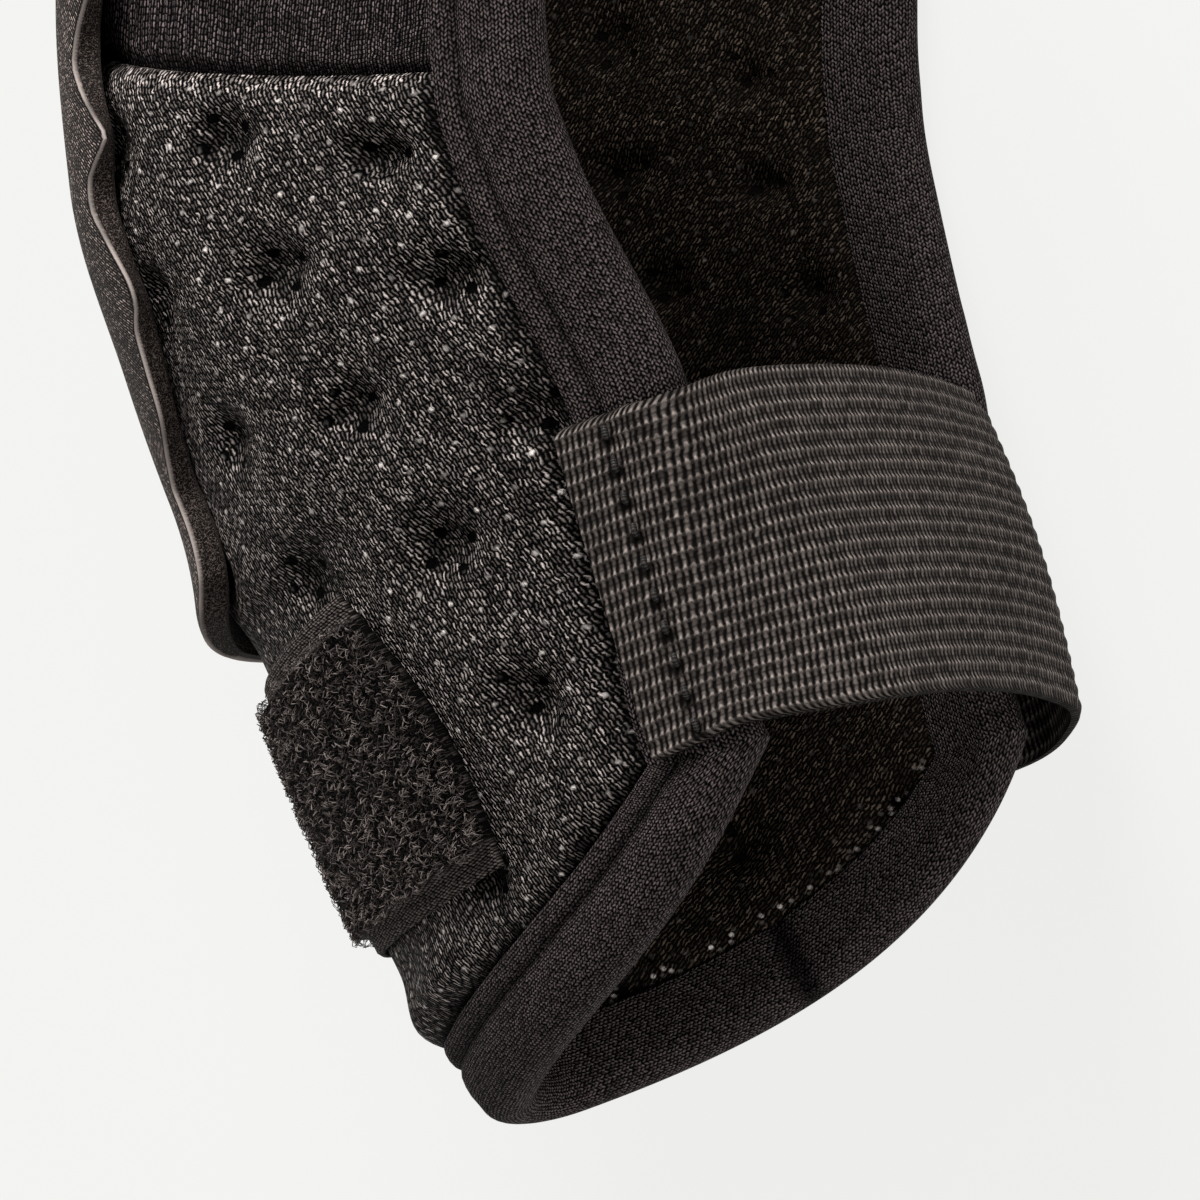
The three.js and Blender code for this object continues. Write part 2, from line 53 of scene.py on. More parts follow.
EdgeLine = Callable[[Array], Array]
Socket = bpy.types.NodeSocket
Feed = Union["Term", Socket, float, tuple]

LOG = logging.getLogger("elbow_guard")
MM = 0.001
ROOT = "root"

# Lengths along the back of the arm, in millimetres down from the elbow line
UPPER_HEM = -88.0
UPPER_CORNER_DROP = 16.0
UPPER_CORNER_POWER = 7.0
FOREARM_HEM = 160.0
HEM_CORNER_RISE = 18.0
HEM_CORNER_POWER = 4.2
HEM_LOWER_WING_DROP = 2.2
BAND_ABOVE = -8.0
BAND_BELOW = 8.0
BAND_FRONT_DROP = 22.0
BAND_DROP_START = 0.33

# Wall thicknesses each side of the wall's middle, in millimetres
PAD_OUTER = 4.2
PAD_INNER = 3.8
PRESSED_HALF = 2.1
BAND_OUTER = 1.6
BAND_INNER = 0.1
LINING_TOP = 0.5
SEAM_GAP = 0.3

# Edge tape, in millimetres
TAPE_FACE = 3.75
TAPE_BED = 2.65
TAPE_THICKNESS = 1.1
TAPE_OUTER_LEG = 14.5
TAPE_INNER_LEG = 12.5
TAPE_GROOVE_IN = 10.6
TAPE_COVER = 0.6
PAD_EDGE = 4.15
PAD_BORDER = 22.0

# Rounds in which places near a slanted edge settle
PLACE_ROUNDS = 7
HEM_ROUNDS = 8


class Hem(Enum):
    """The two hems of the wrap."""

    UPPER = "upper"
    FOREARM = "forearm"


@dataclass(frozen=True)
class SectionRow:
    """One section across the arm: where its back lies, how it leans and how it curves."""

    along: float
    x: float
    y: float
    tilt: float
    half_width: float
    back_radius: float
    back_turn: float
    reach: float
    edge_half: float


SECTIONS = (
    SectionRow(-92, 26.6, 92, 0, 44, 66, 28, 88, 44),
    SectionRow(-36, 26.6, 36, 0, 44, 62, 29, 88, 44),
    SectionRow(0, 26.6, 0, 0, 44, 46, 40, 88, 44),
    SectionRow(24.5, 29.2, -24.4, 8, 44, 47, 39, 87, 44),
    SectionRow(50, 36.2, -48.6, 17, 43.4, 40, 43, 86.1, 42),
    SectionRow(89, 50.2, -84.7, 25, 38.5, 26, 46, 87, 35),
    SectionRow(136, 71.0, -128.2, 30, 32.5, 13, 48, 76.2, 30),
    SectionRow(160, 84.0, -145.6, 31, 30, 10, 48, 73.9, 29),
)


def lerp(low: Array | float, high: Array | float, share: Array | float) -> Array:
    """Straight mix of two values."""
    return low + (high - low) * share


def smooth_step(low: float, high: float, value: Array) -> Array:
    """Smooth rise from 0 at low to 1 at high."""
    share = np.clip((value - low) / (high - low), 0, 1)
    return share * share * (3 - 2 * share)


def round_rise(distance: Array, start: float, length: float) -> Array:
    """Rise along a quarter round, from 0 at start to 1 a length further on."""
    share = np.clip((distance - start) / length, 0, 1)
    return np.sqrt(np.clip(1 - (1 - share) ** 2, 0, 1))


def bell(value: Array, middle: float, width: float) -> Array:
    """Bell curve that is 1 at its middle."""
    return np.exp(-(((value - middle) / width) ** 2))


def lengths_along(points: Array) -> Array:
    """Distances from the first point, walked along the first axis."""
    return np.cumsum(np.linalg.norm(np.diff(points, axis=0, prepend=points[:1]), axis=-1), axis=0)


def soft_noise(u: Array, v: Array, pitch: float, seed: int) -> Array:
    """Smooth seeded noise over a cloth.

    Args:
        u: Distance round the cloth, in millimetres.
        v: Distance along the cloth, in millimetres.
        pitch: Size of one lump, in millimetres.
        seed: Number that fixes the pattern.

    Returns:
        Values from -1 to 1.
    """
    side = 128
    table = np.random.default_rng(seed).uniform(-1, 1, (side, side))
    x, y = u / pitch, v / pitch
    i, j = np.floor(x).astype(int), np.floor(y).astype(int)
    fx, fy = smooth_step(0, 1, x - i), smooth_step(0, 1, y - j)
    low = lerp(table[i % side, j % side], table[(i + 1) % side, j % side], fx)
    high = lerp(table[i % side, (j + 1) % side], table[(i + 1) % side, (j + 1) % side], fx)
    return lerp(low, high, fy)


def smooth_table(at: Array, knots: Array, values: Array) -> Array:
    """Reads a table smoothly, without overshoot, and straight on beyond its ends.

    Args:
        at: Places to read.
        knots: Places of the rows.
        values: Values of the rows.

    Returns:
        The values at those places.
    """
    runs = np.diff(knots)
    steps = np.diff(values) / runs
    slopes = np.zeros(len(knots))
    slopes[0], slopes[-1] = steps[0], steps[-1]
    for i in range(1, len(knots) - 1):
        if steps[i - 1] * steps[i] > 0:
            early, late = 2 * runs[i] + runs[i - 1], runs[i] + 2 * runs[i - 1]
            slopes[i] = (early + late) / (early / steps[i - 1] + late / steps[i])
    i = np.clip(np.searchsorted(knots, at, side="right") - 1, 0, len(runs) - 1)
    t = (at - knots[i]) / runs[i]
    start = (1 + 2 * t) * (1 - t) ** 2 * values[i] + t * (1 - t) ** 2 * runs[i] * slopes[i]
    end = t * t * (3 - 2 * t) * values[i + 1] + t * t * (t - 1) * runs[i] * slopes[i + 1]
    inside = start + end
    inside = np.where(at < knots[0], values[0] + (at - knots[0]) * slopes[0], inside)
    return np.where(at > knots[-1], values[-1] + (at - knots[-1]) * slopes[-1], inside)


class WrapForm:
    """The wrap's curved wall: turns places on the flat cloth into points in the part's frame."""

    def __init__(self, rows: Sequence[SectionRow]) -> None:
        """Keeps the sections and finds the wall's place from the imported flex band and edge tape.

        Args:
            rows: Sections from the upper hem to the forearm hem.
        """
        keys = [f.name for f in fields(SectionRow)]
        self.columns = {key: np.array([getattr(r, key) for r in rows], float) for key in keys}
        band_low, band_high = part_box("elbow_flex_band")
        tape_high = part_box("edge_binding")[1]
        back = self.columns["x"][2] - BAND_OUTER
        middle = (band_low.z + band_high.z) / 2
        self.shift = np.array([back - band_low.x / MM, -UPPER_HEM - tape_high.y / MM, -middle / MM])

    def read(self, column: str, along: Array) -> Array:
        """One column of the section table at places along the arm."""
        return smooth_table(along, self.columns["along"], self.columns[column])

    def section(self, along: Array) -> dict[str, Array]:
        """Arc radii and lengths of the half sections.

        Args:
            along: Places along the arm.

        Returns:
            The measures of the half sections, by name.
        """
        half, radius = self.read("half_width", along), self.read("back_radius", along)
        turn = np.radians(self.read("back_turn", along))
        side = (half - radius * np.sin(turn)) / (1 - np.sin(turn))
        back_depth = radius * (1 - np.cos(turn))
        side_depth = back_depth + side * np.cos(turn)
        run = np.maximum(self.read("reach", along) - side_depth, 0.01)
        lean = np.maximum(half - self.read("edge_half", along), 0.0001)
        wing = (run**2 + lean**2) / (2 * lean)
        lengths = radius * turn, side * (np.pi / 2 - turn), wing * np.arcsin(run / wing)
        return dict(half=half, radius=radius, turn=turn, side=side, back_depth=back_depth,
                    side_depth=side_depth, wing=wing, back=lengths[0], flank=lengths[1], edge=sum(lengths))

    def half_length(self, along: Array) -> Array:
        """Distance round from the back to the slit edge."""
        return self.section(along)["edge"]

    def wall(self, around: Array, along: Array) -> Array:
        """Points on the wall's middle.

        Args:
            around: Distances round from the back.
            along: Distances along the arm.

        Returns:
            Points in millimetres in the table's own frame.
        """
        g = self.section(along)
        way = np.abs(around)
        first = np.minimum(way, g["back"]) / g["radius"]
        depth, lateral = g["radius"] * (1 - np.cos(first)), g["radius"] * np.sin(first)
        second = g["turn"] + np.clip(way - g["back"], 0, g["flank"]) / g["side"]
        past = way > g["back"]
        depth = np.where(past, g["back_depth"] + g["side"] * (np.cos(g["turn"]) - np.cos(second)), depth)
        back_half = g["radius"] * np.sin(g["turn"])
        lateral = np.where(past, back_half + g["side"] * (np.sin(second) - np.sin(g["turn"])), lateral)
        third = np.maximum(way - g["back"] - g["flank"], 0) / g["wing"]
        past = way > g["back"] + g["flank"]
        depth = np.where(past, g["side_depth"] + g["wing"] * np.sin(third), depth)
        lateral = np.where(past, g["half"] - g["wing"] * (1 - np.cos(third)), lateral)
        tilt = np.radians(self.read("tilt", along))
        x = self.read("x", along) + depth * np.cos(tilt)
        y = self.read("y", along) + depth * np.sin(tilt)
        return np.stack([x, y, np.sign(around) * lateral], -1)

    def outward(self, around: Array, along: Array) -> Array:
        """Unit normals of the wall.

        Args:
            around: Distances round from the back.
            along: Distances along the arm.

        Returns:
            Directions that point out of the wrap.
        """
        step = 0.05
        round_way = self.wall(around + step, along) - self.wall(around - step, along)
        down_way = self.wall(around, along + step) - self.wall(around, along - step)
        normal = np.cross(down_way, round_way)
        return normal / np.linalg.norm(normal, axis=-1, keepdims=True)

    def off_wall(self, around: Array, along: Array, off: Array | float) -> Array:
        """Points off the wall's middle, positive outward, in millimetres in the table's own frame."""
        around, along, off = np.broadcast_arrays(*(np.asarray(a, float) for a in (around, along, off)))
        return self.wall(around, along) + self.outward(around, along) * off[..., None]

    def metres(self, points: Array) -> Array:
        """Points of the table's own frame as metres in the part's frame."""
        return (points - self.shift) * MM

    def place(self, around: Array, along: Array, off: Array | float) -> Array:
        """Points off the wall's middle, in metres in the part's frame."""
        return self.metres(self.off_wall(around, along, off))


def forearm_hem(share: Array) -> Array:
    """Forearm hem's distance along the arm, by share of the half length."""
    drop = np.where(share < 0, HEM_LOWER_WING_DROP * np.sin(np.pi * np.minimum(np.abs(share), 1)), 0)
    return FOREARM_HEM + drop - HEM_CORNER_RISE * np.abs(share) ** HEM_CORNER_POWER


def upper_hem(share: Array) -> Array:
    """Upper hem's distance along the arm, by share of the half length."""
    return UPPER_HEM + UPPER_CORNER_DROP * np.abs(share) ** UPPER_CORNER_POWER


def band_upper_edge(share: Array) -> Array:
    """Upper edge of the flex band, straight across."""
    return BAND_ABOVE + 0 * share


def band_lower_edge(share: Array) -> Array:
    """Lower edge of the flex band, which drops towards the slit."""
    return BAND_BELOW + BAND_FRONT_DROP * np.maximum(0, np.abs(share) - BAND_DROP_START)


def row_places(form: WrapForm, spread: Array, line: EdgeLine, rows: int) -> tuple[Array, Array, Array]:
    """Cloth places of rows whose distance along depends on their share of the way round.

    Args:
        form: The wrap's wall.
        spread: Shares of the way from the back to the pad's edge, from -1 to 1.
        line: Gives the rows' distances along from shares of the half length.
        rows: Number of rows.

    Returns:
        The distances round, the shares of the half length and the distances along.
    """
    along = np.zeros((rows, spread.size))
    for _ in range(PLACE_ROUNDS):
        half = form.half_length(along)
        around = spread * (half - PAD_EDGE)
        share = around / half
        along = line(share)
    return around, share, along


@dataclass
class MeshDraft:
    """Points, faces and named masks of a mesh before it becomes an object."""

    points: Array
    faces: list[Array]
    cloth: Array
    masks: dict[str, Array]

    def object(self, name: str, crease: float | None = 50.0) -> bpy.types.Object:
        """Makes the object, pressed flat where it would go below the floor.

        Args:
            name: Name of the piece.
            crease: Angle in degrees from which an edge stays sharp, or None for no sharp edges.

        Returns:
            The new object, in the scene and with smooth faces.
        """
        self.points[:, 2] = np.maximum(self.points[:, 2], 0)
        mesh = bpy.data.meshes.new(name)
        counts = np.concatenate([np.full(len(f), f.shape[1]) for f in self.faces])
        corners = np.concatenate([f.ravel() for f in self.faces])
        mesh.vertices.add(len(self.points))
        mesh.vertices.foreach_set("co", self.points.astype(np.float32).ravel())
        mesh.loops.add(len(corners))
        mesh.loops.foreach_set("vertex_index", corners.astype(np.int32))
        mesh.polygons.add(len(counts))
        starts = np.concatenate([[0], np.cumsum(counts)[:-1]])
        mesh.polygons.foreach_set("loop_start", starts.astype(np.int32))
        mesh.polygons.foreach_set("use_smooth", np.ones(len(counts), bool))
        mesh.update(calc_edges=True)
        if crease is not None:
            mesh.set_sharp_from_angle(angle=math.radians(crease))
        cloth = mesh.attributes.new("cloth", "FLOAT_VECTOR", "POINT")
        cloth.data.foreach_set("vector", self.cloth.astype(np.float32).ravel())
        for key, values in self.masks.items():
            mask = mesh.attributes.new(key, "FLOAT", "POINT")
            mask.data.foreach_set("value", values.astype(np.float32).ravel())
        made = bpy.data.objects.new(name, mesh)
        bpy.context.scene.collection.objects.link(made)
        return made


def grid_quads(rows: int, columns: int, wrap: bool = False) -> Array:
    """Quads of a grid of points.

    Args:
        rows: Number of rows.
        columns: Number of points in a row.
        wrap: True where each row closes on itself.

    Returns:
        An array of quads, four indices each.
    """
    across = columns if wrap else columns - 1
    i, j = np.meshgrid(np.arange(rows - 1), np.arange(across), indexing="ij")
    a, b = i * columns + j, i * columns + (j + 1) % columns
    return np.stack([a, b, b + columns, a + columns], -1).reshape(-1, 4)


def faced_out(points: Array, faces: list[Array]) -> list[Array]:
    """Turns the faces of a closed mesh so that they point out.

    Args:
        points: Points of the mesh.
        faces: Groups of faces with the same number of corners.

    Returns:
        The groups of faces, reversed where they pointed in.
    """
    volume = 0.0
    for group in faces:
        for k in range(1, group.shape[1] - 1):
            a, b, c = points[group[:, 0]], points[group[:, k]], points[group[:, k + 1]]
            volume += float(np.einsum("ij,ij->", a, np.cross(b, c)))
    return [f[:, ::-1] for f in faces] if volume < 0 else faces


def slab(outer: Array, inner: Array, cloth: Array, masks: dict[str, Array],
         rim_ways: Sequence[float] = (), thickness: float = 0.0) -> MeshDraft:
    """Closed sheet between a grid of outer points and a grid of inner points of the same size.

    Args:
        outer: Outer points, rows by columns.
        inner: Inner points, rows by columns.
        cloth: Cloth places of the outer points. The inner face gets the same.
        masks: Named masks of the outer points. The inner face gets the same.
        rim_ways: Shares of the way down the rim where it has a ring of points.
        thickness: How far the cloth's third axis runs down the rim, in millimetres.

    Returns:
        The draft of the sheet, with masks named inner and side.
    """
    rows, columns = outer.shape[:2]
    count = rows * columns
    index = np.arange(count).reshape(rows, columns)
    rim = np.concatenate([index[0], index[1:, -1], index[-1, -2::-1], index[-2:0:-1, 0]])
    flat_outer, flat_inner, flat_cloth = outer.reshape(-1, 3), inner.reshape(-1, 3), cloth.reshape(-1, 3)
    rings, points, places = [rim], [flat_outer, flat_inner], [flat_cloth, flat_cloth]
    for k, way in enumerate(rim_ways):
        rings.append(2 * count + k * len(rim) + np.arange(len(rim)))
        points.append(lerp(flat_outer[rim], flat_inner[rim], way))
        places.append(flat_cloth[rim] - np.array([0, 0, thickness * way]))
    rings.append(rim + count)
    front = grid_quads(rows, columns)
    faces = [front, front[:, ::-1] + count]
    for above, below in zip(rings, rings[1:]):
        faces.append(np.stack([above, below, np.roll(below, -1), np.roll(above, -1)], -1))
    extra = len(rim_ways) * len(rim)
    spread = {key: np.concatenate([np.tile(m.ravel(), 2), np.zeros(extra)]) for key, m in masks.items()}
    spread["inner"] = np.concatenate([np.repeat([0.0, 1.0], count), np.zeros(extra)])
    spread["side"] = np.concatenate([np.zeros(count), np.ones(count + extra)])
    joined = np.concatenate(points)
    return MeshDraft(joined, faced_out(joined, faces), np.concatenate(places), spread)


def cloth_places(u: Array, v: Array) -> Array:
    """Cloth coordinates in millimetres, as vectors."""
    u, v = np.broadcast_arrays(u, v)
    return np.stack([u, v, np.zeros_like(u)], -1)


def tubes(lines: Array, radius: Array, sides: int, shade: Array) -> MeshDraft:
    """Thin tubes along many lines of the same number of points, each tapered shut at its ends.

    Args:
        lines: Points of the lines, lines by points by 3.
        radius: Radius of each line.
        sides: Number of sides of a tube.
        shade: A number from 0 to 1 for each line, kept as the mask shade.

    Returns:
        The draft of all the tubes as one mesh.
    """
    count, steps = lines.shape[:2]
    run = np.gradient(lines, axis=1)
    run /= np.linalg.norm(run, axis=-1, keepdims=True) + 1e-12
    guide = np.cross(run[:, :1], run[:, -1:] + np.array([0.31, 0.17, 0.23]))
    across = np.cross(run, np.broadcast_to(guide, run.shape))
    across /= np.linalg.norm(across, axis=-1, keepdims=True) + 1e-12
    other = np.cross(run, across)
    angle = 2 * np.pi * np.arange(sides) / sides
    ring = across[:, :, None] * np.cos(angle)[None, None, :, None]
    ring = ring + other[:, :, None] * np.sin(angle)[None, None, :, None]
    taper = np.ones(steps)
    taper[0] = taper[-1] = 0.35
    points = lines[:, :, None] + ring * (radius[:, None] * taper)[:, :, None, None]
    quads = grid_quads(steps, sides, wrap=True)
    starts = np.arange(count)[:, None, None] * steps * sides
    caps = np.arange(sides)[None, :]
    ends = [caps[:, ::-1] + starts[:, 0], caps + (steps - 1) * sides + starts[:, 0]]
    flat = points.reshape(-1, 3)
    along = np.broadcast_to(np.linspace(0, 1, steps)[None, :, None], points.shape[:3])
    places = cloth_places(along.ravel() * 3, np.repeat(np.arange(count), steps * sides) * 1.0)
    faces = [(quads[None] + starts).reshape(-1, 4), *ends]
    return MeshDraft(flat, faces, places, {"shade": np.repeat(shade, steps * sides)})


def inflated(start: Array, outward: Array, held: Array, pressure: float, frames: int = 20) -> Array:
    """Blows up a sheet of cloth that is held at some of its points.

    Args:
        start: Grid of points, rows by columns by 3.
        outward: Directions that the pressure pushes in.
        held: True at the points that stay in place.
        pressure: Pressure of the filling.
        frames: Number of frames that the simulation runs.

    Returns:
        The grid of points at the end.
    """
    faces = grid_quads(*start.shape[:2])
    first, second, _, fourth = (start.reshape(-1, 3)[i] for i in faces[0])
    if np.cross(second - first, fourth - first) @ outward[0, 0] < 0:
        faces = faces[:, ::-1]
    mesh = bpy.data.meshes.new("filled_face")
    mesh.from_pydata(start.reshape(-1, 3).tolist(), [], faces.tolist())
    body = bpy.data.objects.new("filled_face", mesh)
    scene = bpy.context.scene
    scene.collection.objects.link(body)
    body.vertex_groups.new(name="held").add(np.flatnonzero(held.ravel()).tolist(), 1.0, "REPLACE")
    cloth = body.modifiers.new("filling", "CLOTH")
    cloth.settings.vertex_group_mass = "held"
    cloth.settings.use_pressure = True
    cloth.settings.uniform_pressure_force = pressure
    cloth.settings.effector_weights.gravity = 0
    cloth.collision_settings.use_collision = False
    for number in range(1, frames + 1):
        scene.frame_set(number)
    done = body.evaluated_get(bpy.context.evaluated_depsgraph_get())
    points = np.empty(start.size, np.float32)
    done.data.vertices.foreach_get("co", points)
    scene.frame_set(1)
    bpy.data.objects.remove(body)
    bpy.data.meshes.remove(mesh)
    return points.reshape(start.shape).astype(float)


def settle(piece: bpy.types.Object, material: bpy.types.Material,
           node: str | None = None) -> bpy.types.Object:
    """Gives a piece its finish and ties it to the frame.

    Args:
        piece: The piece.
        material: Its material.
        node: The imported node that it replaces, if any.

    Returns:
        The same piece.
    """
    piece.data.materials.append(material)
    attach(piece, ROOT)
    if node is not None:
        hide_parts(node)
    return piece


class Term:
    """A number that flows between shader nodes, with ordinary arithmetic."""

    def __init__(self, sheet: "ShaderSheet", socket: Socket) -> None:
        """Keeps the socket that gives the number."""
        self.sheet = sheet
        self.socket = socket

    def __add__(self, other: "Term | float") -> "Term":
        """Sum."""
        return self.sheet.math("ADD", self, other)

    def __sub__(self, other: "Term | float") -> "Term":
        """Difference."""
        return self.sheet.math("SUBTRACT", self, other)

    def __rsub__(self, other: float) -> "Term":
        """Difference from a plain number."""
        return self.sheet.math("SUBTRACT", other, self)

    def __mul__(self, other: "Term | float") -> "Term":
        """Product."""
        return self.sheet.math("MULTIPLY", self, other)

    def __truediv__(self, other: "Term | float") -> "Term":
        """Quotient."""
        return self.sheet.math("DIVIDE", self, other)

    __radd__ = __add__
    __rmul__ = __mul__

    def floor(self) -> "Term":
        """Whole part."""
        return self.sheet.math("FLOOR", self)

    def size(self) -> "Term":
        """Absolute value."""
        return self.sheet.math("ABSOLUTE", self)

    def wave(self) -> "Term":
        """Cosine of a whole turn for each unit."""
        return self.sheet.math("COSINE", self * (2 * math.pi))

    def capped(self) -> "Term":
        """The number, at most 1."""
        return self.sheet.math("MINIMUM", self, 1.0)

    def rise(self, low: float, high: float) -> "Term":
        """Smooth rise from 0 at low to 1 at high."""
        return self.sheet.ramp(self, low, high, 0, 1)

    def fade(self, low: float, high: float) -> "Term":
        """Smooth fall from 1 at low to 0 at high."""
        return self.sheet.ramp(self, low, high, 1, 0)


class ShaderSheet:
    """Shader nodes of one finish, added and linked by short calls."""

    def __init__(self, name: str) -> None:
        """Starts a material with a principled shader.

        Args:
            name: Name of the material.
        """
        self.material = bpy.data.materials.new(name)
        self.material.use_nodes = True
        self.nodes, self.links = self.material.node_tree.nodes, self.material.node_tree.links
        self.nodes.clear()
        self.shader = self.node("BsdfPrincipled")
        self.node("OutputMaterial", {0: self.shader.outputs[0]})

    def feed(self, socket: Socket, value: Feed) -> None:
        """Links a socket to where its value comes from, or sets its plain value.

        Args:
            socket: Input of a node.
            value: A term or another node's output to link, or a plain value.
        """
        source = value.socket if isinstance(value, Term) else value
        if isinstance(source, Socket):
            self.links.new(source, socket)
        else:
            socket.default_value = source

    def node(self, kind: str, inputs: dict[int | str, Feed] | None = None, **settings: str) -> bpy.types.Node:
        """Adds a node.

        Args:
            kind: Type of the node, without its prefix.
            inputs: What feeds its inputs, by their numbers or names.
            **settings: Its other settings, by name.

        Returns:
            The new node.
        """
        made = self.nodes.new("ShaderNode" + kind)
        for key, value in settings.items():
            setattr(made, key, value)
        for key, value in (inputs or {}).items():
            self.feed(made.inputs[key], value)
        return made

    def math(self, operation: str, *values: Term | float) -> Term:
        """One arithmetic node."""
        return Term(self, self.node("Math", dict(enumerate(values)), operation=operation).outputs[0])

    def ramp(self, value: Term, low: float, high: float, first: float, last: float) -> Term:
        """Smooth change from first to last as the value goes from low to high."""
        numbers = dict(enumerate((value, low, high, first, last)))
        return Term(self, self.node("MapRange", numbers, interpolation_type="SMOOTHSTEP").outputs[0])

    def mask(self, name: str) -> Term:
        """A mask that the mesh carries."""
        return Term(self, self.node("Attribute", attribute_name=name).outputs["Fac"])

    def cloth(self) -> Socket:
        """The cloth place as a vector: round and along, in millimetres."""
        return self.node("Attribute", attribute_name="cloth").outputs["Vector"]

    def split(self, place: Socket) -> tuple[Term, Term]:
        """The cloth place round and along, as two numbers."""
        parts = self.node("SeparateXYZ", {0: place}).outputs
        return Term(self, parts[0]), Term(self, parts[1])

    def join(self, x: Term | float, y: Term | float) -> Socket:
        """Two numbers as a vector."""
        return self.node("CombineXYZ", {0: x, 1: y}).outputs[0]

    def noise_node(self, place: Socket, lump: float, detail: float) -> bpy.types.Node:
        """Noise with lumps of that size in millimetres."""
        return self.node("TexNoise", {"Vector": place, "Scale": 1 / lump, "Detail": detail})

    def noise(self, place: Socket, lump: float, detail: float = 1.0) -> Term:
        """Noise about 0, from -0.5 to 0.5."""
        return Term(self, self.noise_node(place, lump, detail).outputs[0]) - 0.5

    def warped(self, place: Socket, lump: float, reach: float) -> Socket:
        """The place, pushed about by noise as far as reach."""
        ways = {0: self.noise_node(place, lump, 1.0).outputs["Color"], 1: (2 * reach, 2 * reach, 0), 2: place}
        return self.node("VectorMath", ways, operation="MULTIPLY_ADD").outputs[0]

    def turned(self, place: Socket, angle: float, length: float, width: float) -> Socket:
        """The place in cells that run at an angle.

        Args:
            place: Cloth place.
            angle: Direction of the cells' length, in degrees.
            length: Length of a cell, in millimetres.
            width: Width of a cell, in millimetres.

        Returns:
            The place counted in cells.
        """
        turn = self.node("Mapping", {"Vector": place, "Rotation": (0, 0, -math.radians(angle))})
        cell = {0: turn.outputs[0], 1: (length, width, 1)}
        return self.node("VectorMath", cell, operation="DIVIDE").outputs[0]

    def lattice(self, place: Socket, first: tuple[float, float], second: tuple[float, float]) -> Socket:
        """The place in cells of a lattice.

        Args:
            place: Cloth place.
            first: One step of the lattice, in millimetres.
            second: Its other step.

        Returns:
            The place counted in steps.
        """
        x, y = self.split(place)
        (a, b), (c, d) = first, second
        size = a * d - b * c
        return self.join(x * (d / size) - y * (c / size), y * (a / size) - x * (b / size))

    def cells(self, place: Socket, disorder: float) -> tuple[Term, Term]:
        """Cells with a middle each.

        Args:
            place: Place counted in cells.
            disorder: How far the middles stray, from 0 to 1.

        Returns:
            Distance from the middle of the nearest cell, and that cell's own chance from 0 to 1.
        """
        inputs = {"Vector": place, "Scale": 1, "Randomness": disorder}
        node = self.node("TexVoronoi", inputs, voronoi_dimensions="2D")
        luck = self.node("SeparateColor", {0: node.outputs["Color"]}).outputs[0]
        return Term(self, node.outputs["Distance"]), Term(self, luck)

    def chance(self, x: Term, y: Term) -> Term:
        """A fixed chance from 0 to 1 for each whole place."""
        node = self.node("TexWhiteNoise", {"Vector": self.join(x, y)}, noise_dimensions="2D")
        return Term(self, node.outputs["Value"])

    def dashes(self, place: Socket, angle: float, length: float, pitch: float) -> tuple[Term, Term]:
        """Broken yarns that lie side by side at an angle.

        Args:
            place: Cloth place.
            angle: Direction of the yarns, in degrees.
            length: Length of a dash with its gap, in millimetres.
            pitch: Distance between yarns, in millimetres.

        Returns:
            The dashes' height from 0 to 1, and each dash's own chance from 0 to 1.
        """
        along, across = self.split(self.turned(place, angle, length, pitch))
        yarn = across.floor()
        run = along + self.chance(yarn, yarn * 0.37 + 5.0) * 9.0
        end = (run - run.floor() - 0.5).size().fade(0.2, 0.5)
        edge = (across - yarn - 0.5).size().fade(0.02, 0.35)
        return end * edge, self.chance(yarn, run.floor())

    def blend(self, share: Term, low: "Colour | Socket", high: "Colour | Socket") -> Socket:
        """Mix of two colours.

        Args:
            share: Share of the second colour.
            low: First colour.
            high: Second colour.

        Returns:
            The mixed colour.
        """
        first, second = ((*c, 1) if isinstance(c, tuple) else c for c in (low, high))
        return self.node("Mix", {"Factor": share, 6: first, 7: second}, data_type="RGBA").outputs[2]

    def dress(self, colour: Socket, rough: Term | float, height: Term, specular: float,
              sheen: float = 0.0) -> bpy.types.Material:
        """Feeds the shader.

        Args:
            colour: Base colour.
            rough: Roughness.
            height: Height of the fine surface, in millimetres.
            specular: Specular level.
            sheen: Weight of the sheen.

        Returns:
            The finished material.
        """
        bump = self.node("Bump", {"Strength": 1, "Distance": MM, "Height": height})
        inputs = {"Base Color": colour, "Roughness": rough, "Specular IOR Level": specular,
                  "Sheen Weight": sheen, "Normal": bump.outputs[0]}
        for key, value in inputs.items():
            self.feed(self.shader.inputs[key], value)
        return self.material


